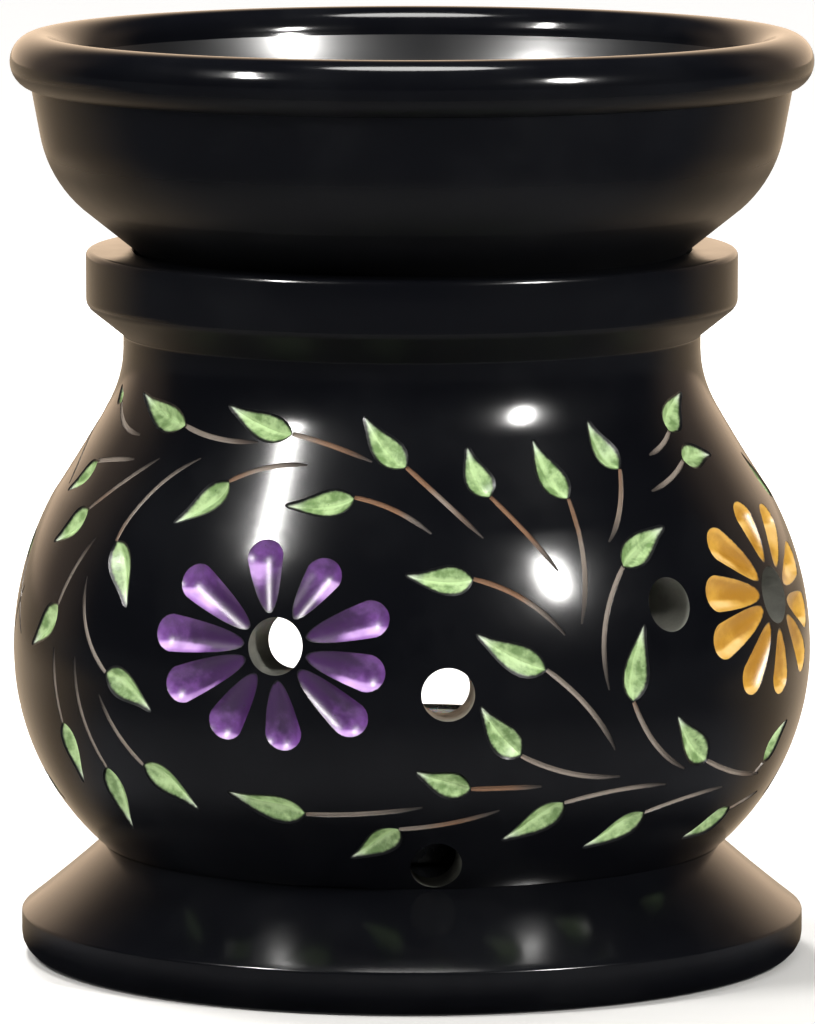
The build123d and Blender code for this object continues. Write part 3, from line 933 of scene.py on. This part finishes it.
def use(tree, name, **sockets):
    """Place a shared group in a tree, made the first time, with its inputs set by name."""
    shared = bpy.data.node_groups.get(name) or SHARED_GROUPS[name](name)
    return put(tree, "Group", {"node_tree": shared}, **sockets).outputs


# Materials


def polished_stone(name, finish, rings, ring_strength, roughness, oiled=0.0):
    """Near-black stone with clouds and faint lathe rings, duller on undersides high up."""
    material, tree, shader = new_material(name)
    clouds = use(tree, "stone_clouds", Cloud_scale=70.0, Grain_scale=2400.0)
    lathe = use(tree, "lathe_rings", Ring_scale=rings)["Height"]
    underside = ramp(tree, parts_of(tree, "Normal")[2], -0.20, -0.50, 0.0, 0.30)
    high_up = ramp(tree, parts_of(tree, "Object")[2], 50 * MM, 60 * MM)
    rough = add(tree, times(tree, clouds["Smear"], 0.10), roughness - 0.05)
    dress(
        tree, shader,
        tint=blend_colour(tree, clouds["Cloud"], finish.stone, finish.stone_cloud),
        rough=add(tree, rough, times(tree, underside, high_up)),
        height=add(tree, times(tree, lathe, ring_strength), times(tree, clouds["Smear"], 0.8)),
        strength=0.35, relief=0.02 * MM,
        Specular_IOR_Level=0.5 + 0.5 * oiled, Coat_Weight=oiled, Coat_Roughness=0.25,
    )
    return material


def raw_stone(finish):
    """Sawn and drilled stone: dark grey, grainy and only half polished."""
    material, tree, shader = new_material("raw_stone")
    clouds = use(tree, "stone_clouds", Cloud_scale=220.0, Grain_scale=1800.0)
    lathe = use(tree, "lathe_rings", Ring_scale=1300.0)["Height"]
    tint = blend_colour(tree, clouds["Cloud"], finish.raw, finish.raw_dark)
    dress(
        tree, shader,
        tint=blend_colour(tree, times(tree, clouds["Grain"], 0.5), tint, finish.raw_dark),
        rough=ramp(tree, clouds["Smear"], 0.3, 0.7, 0.30, 0.44),
        height=add(tree, clouds["Grain"], lathe),
        strength=0.4, relief=0.05 * MM, Specular_IOR_Level=0.5,
    )
    return material


def depth_and_part(tree):
    """Depth of the cut in millimetres, and the shares of the way along and across its tool."""
    depth = put(tree, "Attribute", {"attribute_name": "carve_depth"}).outputs["Fac"]
    part = put(tree, "SeparateXYZ", Vector=put(tree, "UVMap", {"uv_map": "UVMap"}).outputs[0])
    return depth, part.outputs[0], part.outputs[1]


def brush_on(tree, shader, relief, **sockets):
    """Cover a shader with brushed paint, its strokes as high as relief."""
    paint = use(tree, "brushed_paint", **sockets)
    dress(tree, shader, paint["Color"], paint["Roughness"], paint["Height"], 0.5, relief)


def petal_paint(paint, finish, rim):
    """Enamel in a petal, with painted shade towards the heel, painted light on walls that face up,
    and a painted highlight band on the lower wall.
    """
    material, tree, shader = new_material("petal_" + paint)
    tint, light_tint, painted_highlight_tint = (getattr(finish, paint + end) for end in ("", "_light", "_pale"))
    depth, part, _ = depth_and_part(tree)
    rise = parts_of(tree, "Normal")[2]
    # Painted shade and light: darker towards the heel, lighter towards the tip and on walls that
    # face up.
    along = ramp(tree, part, 0.20, 0.90, -0.25, 0.50)
    lightness = add(tree, along, ramp(tree, rise, 0.30, 0.80, 0.0, 0.50))
    lightness = add(tree, lightness, ramp(tree, depth, 0.15, 0.55, rim, 0.0))
    # Painted highlight: a pale band, broken into streaks, on the part of the wall that faces up,
    # towards the tip.
    band = times(tree, ramp(tree, rise, 0.42, 0.60), ramp(tree, rise, 0.72, 0.86, 1.0, 0.25))
    highlight_streaks = ramp(tree, noise(tree, object_place(tree), 420.0, 2.0), 0.30, 0.66, 0.45, 1.0)
    painted_highlight = times(tree, band, times(tree, highlight_streaks, 0.85))
    painted_highlight = times(tree, painted_highlight, ramp(tree, part, 0.35, 0.62))
    brush_on(
        tree, shader, 0.08 * MM, Tint=tint, Stone=finish.stone, Depth=depth, Fade=0.14, Mottle=1.2,
        Light_tint=blend_colour(tree, painted_highlight, light_tint, painted_highlight_tint),
        Lightness=add(tree, lightness, painted_highlight),
    )
    wire(tree, shader, Coat_Weight=1.0, Coat_Roughness=0.36)
    return material


def leaf_paint(finish):
    """Chalky green in a leaf, running out to a greyish point, with a painted highlight along its
    midrib.
    """
    material, tree, shader = new_material("leaf_paint")
    depth, part, across = depth_and_part(tree)
    thin = ramp(tree, part, 0.60, 0.88)
    aside = calc(tree, "ABSOLUTE", calc(tree, "SUBTRACT", across, 0.5))
    brush_on(
        tree, shader, 0.08 * MM, Stone=finish.stone, Depth=depth, Fade=0.32,
        Tint=blend_colour(tree, thin, finish.leaf, finish.leaf_tip),
        Light_tint=blend_colour(tree, thin, finish.leaf_strokes_and_highlight, finish.leaf_tip),
        # Painted highlight: lighter along the midrib, darker on the flanks.
        Lightness=ramp(tree, aside, 0.02, 0.10, 0.85, 0.40),
    )
    return material


def stem_paint(finish):
    """Tan in a stem's groove, redder in places, fading to dark at the far end."""
    material, tree, shader = new_material("stem_paint")
    depth, part, _ = depth_and_part(tree)
    warm = ramp(tree, noise(tree, object_place(tree), 75.0, 1.0), 0.50, 0.62)
    tan_here = blend_colour(tree, warm, finish.stem, finish.stem_warm)
    tan_here = blend_colour(tree, ramp(tree, part, 0.45, 1.0), tan_here, finish.stem_end)
    brush_on(
        tree, shader, 0.06 * MM, Tint=tan_here, Light_tint=tan_here, Stone=finish.stone,
        Depth=depth, Fade=0.16, Lightness=0.5,
    )
    return material


def metal(name, tint, roughness, rings):
    """Pressed metal with faint rings and smears."""
    material, tree, shader = new_material(name)
    clouds = use(tree, "stone_clouds", Cloud_scale=120.0, Grain_scale=900.0)
    lathe = use(tree, "lathe_rings", Ring_scale=rings)["Height"]
    darker = tuple(part * 0.8 for part in tint)
    dress(
        tree, shader,
        tint=blend_colour(tree, clouds["Cloud"], tint, darker),
        rough=add(tree, times(tree, clouds["Smear"], 0.16), roughness - 0.08),
        height=add(tree, lathe, times(tree, clouds["Smear"], 0.6)),
        strength=0.3, relief=0.05 * MM, Metallic=1.0,
    )
    return material


def wax_material(finish):
    """Cast paraffin wax with cloudy depth."""
    material, tree, shader = new_material("paraffin_wax")
    clouds = use(tree, "stone_clouds", Cloud_scale=180.0, Grain_scale=1500.0)
    whiter = tuple(min(1.0, part * 1.06) for part in finish.wax)
    dress(
        tree, shader,
        tint=blend_colour(tree, clouds["Cloud"], finish.wax, whiter),
        rough=ramp(tree, clouds["Smear"], 0.3, 0.7, 0.34, 0.50),
        height=add(tree, clouds["Smear"], times(tree, clouds["Grain"], 0.3)),
        strength=0.4, relief=0.1 * MM, Subsurface_Weight=0.4, Subsurface_Scale=2 * MM,
    )
    return material


def cotton_material(finish):
    """Waxed cotton, browner in patches."""
    material, tree, shader = new_material("waxed_cotton")
    clouds = use(tree, "stone_clouds", Cloud_scale=900.0, Grain_scale=6000.0)
    dull = tuple(part * 0.62 for part in finish.cotton)
    dress(
        tree, shader,
        tint=blend_colour(tree, clouds["Cloud"], finish.cotton, dull),
        rough=ramp(tree, clouds["Smear"], 0.3, 0.7, 0.6, 0.85),
        height=clouds["Grain"], strength=0.8, relief=0.05 * MM,
    )
    return material


# Operators


class OILBURNER_OT_foot(bpy.types.Operator):
    """Turn the foot: band, hollow flare and eased seam"""

    bl_idname = "oil_burner.foot"
    bl_label = "Foot"
    bl_options = {"REGISTER", "UNDO"}

    def execute(self, context):
        settings = context.scene.oil_burner
        sizes = settings.foot
        seat = pot_surface(settings.pot, sizes.height)[0]
        start = Vector((sizes.radius, sizes.band))
        end = Vector((seat, sizes.height))
        inward = Vector((start.y - end.y, end.x - start.x)).normalized()
        middle = (start + end) / 2 + inward * sizes.hollow
        foot = turned("foot_turned", eased([
            (0, 0, 0),
            (sizes.radius, 0, sizes.under_round),
            (sizes.radius, sizes.band, sizes.band_round),
            *plain(arc_through(start, middle, end, steps=10)),
            (seat, sizes.height, sizes.seam),
            (0, sizes.height, 0),
        ]))
        material = polished_stone(
            "foot_stone_polished", settings.finish, rings=700.0, ring_strength=0.5, roughness=0.175
        )
        finish_piece(foot, "burner", "base_foot", "foot_stone", material)
        return {"FINISHED"}


class OILBURNER_OT_pot(bpy.types.Operator):
    """Turn the pot, drill its vents, cut its doorway and carve its flowers and leaves"""

    bl_idname = "oil_burner.pot"
    bl_label = "Pot"
    bl_options = {"REGISTER", "UNDO"}

    def execute(self, context):
        settings = context.scene.oil_burner
        sizes, finish = settings.pot, settings.finish
        pot = turned("pot_carved", self.outline(sizes, settings.foot.seam))
        materials = (
            polished_stone(
                "pot_stone_polished", finish, rings=600.0, ring_strength=0.3, roughness=0.165
            ),
            raw_stone(finish),
            petal_paint("purple", finish, rim=0.0),
            petal_paint("gold", finish, rim=0.45),
            leaf_paint(finish),
            stem_paint(finish),
        )
        for material in materials:
            pot.data.materials.append(material)
        for polygon in pot.data.polygons:
            polygon.material_index = int(self.is_inside(sizes, polygon.center))
        pot.data.uv_layers.new(name="UVMap")
        for cutters in self.cutters(settings, [material.name for material in materials]):
            carve(pot, cutters)
        self.mark_depth(pot, sizes)
        finish_piece(pot, "burner", "burner_body", "pot_stone")
        self.smooth_stone(pot, sizes)
        return {"FINISHED"}

    @staticmethod
    def outline(sizes, seam):
        """Outline of the whole pot, up the outside and down the inside."""
        inner_round, edge_round = 0.5 * MM, 0.4 * MM
        neck_high = neck_top(sizes)
        band_low = neck_high + sizes.collar_undercut
        socket_floor = sizes.top - sizes.socket_depth
        seat = pot_surface(sizes, pot_low.z)[0]
        outside = []
        steps = 70
        for step in range(1, steps - 1):
            height = pot_low.z + (neck_high - pot_low.z) * step / steps
            outside.append((pot_surface(sizes, height)[0], height))
        upper_centre = (sizes.bulb_radius - sizes.upper_arc, sizes.equator)
        lower_centre = (sizes.bulb_radius - sizes.lower_arc, sizes.equator)
        upper_inner, lower_inner = sizes.upper_arc - sizes.wall, sizes.lower_arc - sizes.wall
        chamber = seat - sizes.seat_wall
        chamber_tilt = acos((chamber - lower_centre[0]) / lower_inner)
        inside = arc(upper_centre, upper_inner, sizes.shoulder, -sizes.shoulder, steps=8)
        inside += arc(lower_centre, lower_inner, 0, -chamber_tilt, steps=10)[1:]
        bore_low = inside[0][1] + (inside[0][0] - sizes.bore) / tan(sizes.shoulder)
        return eased([
            (seat, pot_low.z, seam),
            *plain(outside),
            (sizes.bulb_radius - sizes.neck_step, neck_high, inner_round),
            (sizes.collar_radius, band_low, sizes.collar_round),
            (sizes.collar_radius, sizes.top, sizes.collar_edge),
            (sizes.socket, sizes.top, edge_round),
            (sizes.socket, socket_floor, 0),
            (sizes.bore, socket_floor, edge_round),
            (sizes.bore, bore_low, inner_round),
            *plain(inside),
            (chamber, pot_low.z, seam),
        ])

    @staticmethod
    def is_inside(sizes, spot):
        """True for a face of the chamber, the bore or the socket."""
        socket_zone, socket_slack = sizes.top - 6 * MM, 0.3 * MM
        bore_zone, bore_slack = sizes.equator + 29 * MM, 1 * MM
        if spot.z > socket_zone:
            return off_axis(spot) < sizes.socket + socket_slack
        if spot.z > bore_zone:
            return off_axis(spot) < sizes.bore + bore_slack
        return off_axis(spot) < pot_surface(sizes, spot.z)[0] - sizes.wall / 2

    @staticmethod
    def cutters(settings, names):
        """Every tool that cuts the pot, each with the slot of the surface it leaves."""
        sizes, carving = settings.pot, settings.carving
        raw, leaf_slot, stem_slot = (
            names.index(name) for name in ("raw_stone", "leaf_paint", "stem_paint")
        )
        holes = [(spot, sizes.vent) for spot in VENTS]
        holes += [(spot, sizes.neck_vent) for spot in LOW_VENTS]
        holes += [(flower[:2], carving.eye) for flower in FLOWERS]
        drills = [
            drill(f"drill_{number}", sizes, radians(turn), height * MM, diameter, raw)
            for number, ((turn, height), diameter) in enumerate(holes)
        ]
        gouge = petal_tool(carving)
        petals = [
            cut_petal(
                gouge, f"petal_{number}", sizes, carving, flower, petal,
                names.index("petal_" + flower[2]),
            )
            for flower in FLOWERS
            for number, petal in enumerate(PETALS[flower[2]])
        ]
        leaf_bar = carving_tool("leaf_gouge", sides=3, cuts=13)
        stem_bar = carving_tool("stem_gouge", sides=8, cuts=11)
        leaf_bar.data.transform(Matrix.Rotation(-pi / 2, 4, "X"))
        leaves, stems = [], []
        for number, (*places, bow) in enumerate(SPRIGS):
            heel, point, end = ((radians(turn), height * MM) for turn, height in places)
            leaves.append(
                cut_leaf(leaf_bar, f"leaf_{number}", sizes, carving, heel, point, leaf_slot)
            )
            stems.append(
                cut_stem(stem_bar, f"stem_{number}", sizes, carving, heel, end, bow * MM, stem_slot)
            )
        for tool in (gouge, leaf_bar, stem_bar):
            bpy.data.objects.remove(tool)
        return [doorway_tool(sizes, raw)], drills, petals, stems, leaves

    @staticmethod
    def mark_depth(pot, sizes):
        """Keep each vertex's depth under the turned surface, in millimetres."""
        under_neck = 1 * MM
        carved_below = neck_top(sizes) - under_neck
        layer = pot.data.attributes.new("carve_depth", "FLOAT", "POINT")
        for vertex, item in zip(pot.data.vertices, layer.data):
            if vertex.co.z < carved_below:
                radius, tilt = pot_surface(sizes, vertex.co.z)
                item.value = max(0.0, (radius - off_axis(vertex.co)) * cos(tilt) / MM)

    @staticmethod
    def smooth_stone(pot, sizes):
        """Give the polished bulb the exact normals of its turned shape."""
        mesh = pot.data
        past_seam, under_neck = 0.5 * MM, 2 * MM
        low, high = pot_low.z + past_seam, neck_top(sizes) - under_neck
        normals = [corner.vector.copy() for corner in mesh.corner_normals]
        for polygon in mesh.polygons:
            if polygon.material_index or not low < polygon.center.z < high:
                continue
            for index in polygon.loop_indices:
                spot = mesh.vertices[mesh.loops[index].vertex_index].co
                tilt = pot_surface(sizes, spot.z)[1]
                level = cos(tilt) / off_axis(spot)
                normals[index] = Vector((spot.x * level, spot.y * level, sin(tilt)))
        mesh.normals_split_custom_set(normals)


class OILBURNER_OT_bowl(bpy.types.Operator):
    """Turn the loose oil bowl with its rolled lip"""

    bl_idname = "oil_burner.bowl"
    bl_label = "Oil bowl"
    bl_options = {"REGISTER", "UNDO"}

    def execute(self, context):
        settings = context.scene.oil_burner
        sizes, finish = settings.bowl, settings.finish
        lip = Vector((sizes.lip_radius, sizes.rim - sizes.lip_round))
        top = sizes.foot + sizes.spigot_height
        bottom = top - sizes.dish
        floor = bottom + sizes.bottom
        underside = (lip.x - sizes.underside_in, top + sizes.underside_up)
        bend = (lip.x - sizes.bend_in, top + sizes.bend_up)
        wall = (lip.x - sizes.wall_in, top + sizes.wall_up)
        inner_wall = (wall[0] - sizes.wall, floor + sizes.inner_wall_up)
        inner_bend = (bend[0] - sizes.wall, floor + sizes.inner_bend_up)
        floor_edge = (sizes.spigot - sizes.floor_in, floor + sizes.dish)
        groove = acos(sizes.groove / sizes.lip_round)
        floor_round, underside_round = 1 * MM, 0.8 * MM
        bowl = turned("bowl_turned", eased([
            (0, floor, 0),
            (*floor_edge, floor_round),
            *plain(arc_through(floor_edge, inner_bend, inner_wall, steps=14)),
            (*inner_wall, 0),
            *plain(arc(lip, sizes.lip_round, pi, -groove - pi, steps=26)),
            (*wall, 0),
            *plain(arc_through(wall, bend, underside, steps=10)),
            (*underside, underside_round),
            (sizes.spigot, top, sizes.edge),
            (sizes.spigot, sizes.foot, sizes.edge),
            (sizes.recess, sizes.foot, sizes.edge),
            (sizes.recess, bottom, sizes.edge),
            (0, bottom, 0),
        ]))
        materials = (
            polished_stone(
                "bowl_stone_polished", finish, rings=650.0, ring_strength=0.4, roughness=0.12
            ),
            polished_stone(
                "bowl_stone_inside", finish, rings=900.0, ring_strength=2.6, roughness=0.34,
                oiled=1.0,
            ),
            bpy.data.materials.get("raw_stone") or raw_stone(finish),
        )
        outside_slot, inside_slot, raw_slot = range(3)
        raw_high, raw_reach = top - 0.1 * MM, sizes.spigot - 0.5 * MM
        inside_reach, facing_down = lip.x - 2.2 * MM, -0.05
        for polygon in bowl.data.polygons:
            spot, radius = polygon.center, off_axis(polygon.center)
            polygon.material_index = outside_slot
            if spot.z < raw_high and radius < raw_reach:
                polygon.material_index = raw_slot
            elif spot.z < lip.y and radius < inside_reach and polygon.normal.z > facing_down:
                polygon.material_index = inside_slot
        finish_piece(bowl, "bowl", "oil_bowl", "bowl_stone", *materials)
        return {"FINISHED"}


class OILBURNER_OT_tealight(bpy.types.Operator):
    """Make the tealight: pressed cup, cast wax, braided wick and its steel tab"""

    bl_idname = "oil_burner.tealight"
    bl_label = "Tealight"
    bl_options = {"REGISTER", "UNDO"}

    def execute(self, context):
        settings = context.scene.oil_burner
        sizes, finish = settings.tealight, settings.finish
        self.cup(sizes, finish)
        self.wax(sizes, finish)
        self.wick(sizes, finish)
        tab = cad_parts["wick_tab"]
        tab.data.materials.clear()
        tab.data.materials.append(
            metal("tab_steel_plain", finish.steel, roughness=0.32, rings=2500.0)
        )
        return {"FINISHED"}

    @staticmethod
    def cup(sizes, finish):
        """Thin pressed cup with a rolled edge."""
        skin, bead, inner_round = sizes.cup_skin, sizes.bead, 0.15 * MM
        wall = cup_high.x - bead
        floor, bead_height = cup_low.z, cup_high.z - bead
        # The bead stays a hair inside the CAD cup's radius.
        within = 0.999
        rolled = [
            (wall + (radius - wall) * within, height)
            for radius, height in arc((wall, bead_height), bead, pi, -1.5 * pi, 10)
        ]
        cup = turned("tealight_shell", eased([
            (0, floor, 0),
            (wall, floor, skin),
            (wall, bead_height - bead, 0),
            *plain(reversed(rolled)),
            (wall - skin, bead_height - bead, 0),
            (wall - skin, floor + skin, inner_round),
            (0, floor + skin, 0),
        ]), steps=160)
        material = metal(
            "cup_aluminium_pressed", finish.aluminium, roughness=0.26, rings=1200.0
        )
        finish_piece(cup, "tealight", "tealight_cup", "cup_aluminium", material)

    @staticmethod
    def wax(sizes, finish):
        """Cast wax that climbs the cup a little and dips round the wick."""
        gap, tab_skin, tube_radius = 0.05 * MM, 0.35 * MM, 1.15 * MM
        climb, climb_power = 0.35 * MM, 14
        dip, dip_reach = 0.45 * MM, 7 * MM
        bore, top, steps = sizes.wick_radius + gap, wax_high.z, 24
        outline = [(wax_high.x, wax_low.z), (wax_high.x, top)]
        for step in range(1, steps + 1):
            radius = wax_high.x + (bore - wax_high.x) * step / steps
            edge = (radius / wax_high.x) ** climb_power
            dish = max(0.0, 1 - (radius / dip_reach) ** 2)
            outline.append((radius, top - climb * (1 - edge) - dip * dish**2))
        ledge, tube_top = tab_low.z + tab_skin, tab_high.z + gap
        outline += [
            (bore, tube_top),
            (tube_radius, tube_top),
            (tube_radius, ledge),
            (tab_high.x + gap, ledge),
            (tab_high.x + gap, wax_low.z),
        ]
        wax = turned("tealight_wax_cast", outline, steps=128)
        finish_piece(wax, "tealight", "tealight_wax", "candle_wax", wax_material(finish))

    @staticmethod
    def wick(sizes, finish):
        """Strands of waxed cotton, each wound round the others."""
        strand_share, pitch = 0.52, 4.5 * MM
        low, high = wick_low.z, wick_high.z
        strand = sizes.wick_radius * strand_share
        middle = (sizes.wick_radius - strand, 0, (low + high) / 2)
        strands = []
        for number in range(sizes.strands):
            piece = cylinder(f"strand_{number}", 12, strand, high - low, middle)
            cut_long_edges(piece, 40, axis=2, longer=strand)
            start = FULL_TURN * number / sizes.strands
            for vertex in piece.data.vertices:
                turn = start + FULL_TURN * (vertex.co.z - low) / pitch
                vertex.co = Matrix.Rotation(turn, 3, "Z") @ vertex.co
            strands.append(piece)
        choose(*strands)
        bpy.ops.object.join()
        wick = new_piece("tealight_wick_braid")
        finish_piece(wick, "tealight", "tealight_wick", "wick_cotton", cotton_material(finish))


class OILBURNER_OT_stage(bpy.types.Operator):
    """Lay the pale floor, hang the lamps and set the camera"""

    bl_idname = "oil_burner.stage"
    bl_label = "Floor, lamps and camera"
    bl_options = {"REGISTER", "UNDO"}

    def execute(self, context):
        settings = context.scene.oil_burner.stage
        context.scene.view_settings.view_transform = "Standard"
        self.floor(settings)
        self.surroundings(context.scene, settings)
        for lamp in LAMPS:
            self.lamp(*lamp)
        self.camera(context.scene, settings)
        return {"FINISHED"}

    @staticmethod
    def floor(settings):
        """A pale disc that keeps the object's shadow; gloss sees a painted reflection of it
        instead, darker, with painted shade by the foot.
        """
        clear_selection()
        bpy.ops.mesh.primitive_circle_add(
            vertices=96, radius=settings.floor_radius, fill_type="NGON"
        )
        floor = new_piece("pale_floor")
        material, tree, shader = new_material("pale_floor")
        spot = parts_of(tree, "Object")
        away = radius_of(tree, spot)
        path = put(tree, "LightPath").outputs
        far = ramp(tree, away, 0.06, 0.45, 0.02, 0.80)
        mottle = noise(tree, object_place(tree), 35.0, 3.0, 0.5)
        wire(
            tree, shader, Roughness=0.75, Specular_IOR_Level=0.1,
            Base_Color=blend_colour(tree, mottle, (0.58, 0.575, 0.565), (0.61, 0.605, 0.595)),
            Emission_Color=(1, 0.995, 0.985),
            Emission_Strength=times(tree, far, path["Is Camera Ray"]),
        )
        # Painted reflection: glossy rays see an emitted colour, not the lit floor. It is dark by
        # the foot as painted shade, dim nearby, and warmer to the sides and behind.
        painted_foot_shade, near, dim = (0.01, 0.01, 0.012), (0.19, 0.19, 0.20), (0.06, 0.062, 0.07)
        side_warm, back_warm = (0.36, 0.27, 0.18), (0.78, 0.60, 0.42)
        seen = blend_colour(tree, ramp(tree, away, 0.07, 0.16), near, dim)
        seen = blend_colour(tree, ramp(tree, away, 0.045, 0.065), painted_foot_shade, seen)
        back = calc(tree, "DIVIDE", spot[1], away)
        back = calc(tree, "SUBTRACT", back, ramp(tree, away, 0.20, 0.45, 0.0, 0.35))
        seen = blend_colour(tree, ramp(tree, back, -0.15, 0.45), seen, side_warm)
        seen = blend_colour(tree, ramp(tree, back, 0.35, 0.85), seen, back_warm)
        mirror = put(tree, "Emission", Strength=1.0, Color=seen)
        mixer = put(tree, "MixShader", Fac=path["Is Glossy Ray"])
        feed(tree, mixer.inputs[1], shader.outputs[0])
        feed(tree, mixer.inputs[2], mirror.outputs[0])
        wire(tree, tree.nodes["Material Output"], Surface=mixer.outputs[0])
        floor.data.materials.append(material)

    @staticmethod
    def surroundings(scene, settings):
        """Even light, a white background, and the warm room that gloss sees behind."""
        world = bpy.data.worlds.new("studio")
        world.use_nodes = True
        scene.world = world
        tree = world.node_tree
        way = parts_of(tree, "Generated")
        path = put(tree, "LightPath").outputs
        dark, side_warm, back_warm = (0.007, 0.008, 0.011), (0.27, 0.20, 0.15), (1.45, 1.07, 0.74)
        low = ramp(tree, way[2], 0.30, 0.70, 1.0, 0.0)
        beside = times(tree, ramp(tree, way[1], 0.25, 0.62), low)
        behind = times(tree, ramp(tree, way[1], 0.66, 1.05), low)
        room = blend_colour(tree, beside, dark, side_warm)
        room = blend_colour(tree, behind, room, back_warm)
        above = ramp(tree, way[2], -0.1, 0.9, 0.45, 1.25)
        soft = (settings.soft_light,) * 3
        even = put(tree, "VectorMath", {"operation": "SCALE"}, Vector=soft, Scale=above)
        seen = blend_colour(tree, path["Is Glossy Ray"], even.outputs[0], room)
        seen = blend_colour(tree, path["Is Camera Ray"], seen, (1, 1, 1))
        wire(tree, tree.nodes["Background"], Color=seen)

    @staticmethod
    def lamp(name, low, high, wide, distance, power, mirrored):
        """A lamp that runs from its low end to its high end and faces the burner."""
        middle = Vector((0, 0, LAMP_AIM))
        ends = []
        for turn, rise in (low, high):
            turn, rise = radians(turn), radians(rise)
            way = Vector((sin(turn) * cos(rise), -cos(turn) * cos(rise), sin(rise)))
            ends.append(way * distance)
        away = (ends[0] + ends[1]).normalized()
        along = (ends[1] - ends[0]).normalized()
        axes = Matrix((along.cross(away), along, away)).transposed()
        clear_selection()
        bpy.ops.object.light_add(type="AREA", location=middle + away * distance)
        lamp = bpy.context.active_object
        lamp.name = name
        lamp.rotation_euler = axes.to_euler()
        lamp.data.shape = "ELLIPSE"
        lamp.data.size = wide
        lamp.data.size_y = (ends[1] - ends[0]).length
        lamp.data.energy = power
        lamp.data.color = WARM_WHITE
        lamp.visible_glossy = mirrored

    @staticmethod
    def camera(scene, settings):
        """Camera at the photograph's place, looking slightly down."""
        clear_selection()
        bpy.ops.object.camera_add(
            location=(-settings.camera_side, -settings.camera_distance, settings.camera_height),
            rotation=(pi / 2 - settings.camera_pitch, 0, 0),
        )
        camera = bpy.context.active_object
        camera.name = "photo_camera"
        camera.data.sensor_width = 36
        camera.data.lens = settings.lens
        camera.data.clip_end = 20
        scene.camera = camera


class OILBURNER_PT_panel(bpy.types.Panel):
    """Sizes, colours and steps of the oil burner"""

    bl_idname = "OILBURNER_PT_panel"
    bl_label = "Oil Burner"
    bl_space_type = "VIEW_3D"
    bl_region_type = "UI"
    bl_category = "Oil Burner"

    def draw(self, context):
        settings = context.scene.oil_burner
        steps = (
            ("foot", OILBURNER_OT_foot),
            ("pot", OILBURNER_OT_pot),
            ("carving", None),
            ("bowl", OILBURNER_OT_bowl),
            ("tealight", OILBURNER_OT_tealight),
            ("finish", None),
            ("stage", OILBURNER_OT_stage),
        )
        for key, step in steps:
            box = self.layout.box()
            sizes = getattr(settings, key)
            box.label(text=key.capitalize())
            for name in sizes.__annotations__:
                box.prop(sizes, name)
            if step:
                box.operator(step.bl_idname)


CLASSES = (
    FootSizes,
    PotSizes,
    CarvingSizes,
    BowlSizes,
    TealightSizes,
    Finishes,
    StageSettings,
    OilBurner,
    OILBURNER_OT_foot,
    OILBURNER_OT_pot,
    OILBURNER_OT_bowl,
    OILBURNER_OT_tealight,
    OILBURNER_OT_stage,
    OILBURNER_PT_panel,
)


def register():
    for item in CLASSES:
        bpy.utils.register_class(item)
    bpy.types.Scene.oil_burner = PointerProperty(
        type=OilBurner, name="Oil burner", description="Sizes and colours of the oil burner"
    )


def unregister():
    del bpy.types.Scene.oil_burner
    for item in reversed(CLASSES):
        bpy.utils.unregister_class(item)


def main():
    register()
    bpy.ops.oil_burner.stage()
    bpy.ops.oil_burner.foot()
    bpy.ops.oil_burner.pot()
    bpy.ops.oil_burner.bowl()
    bpy.ops.oil_burner.tealight()


if __name__ == "__main__":
    main()
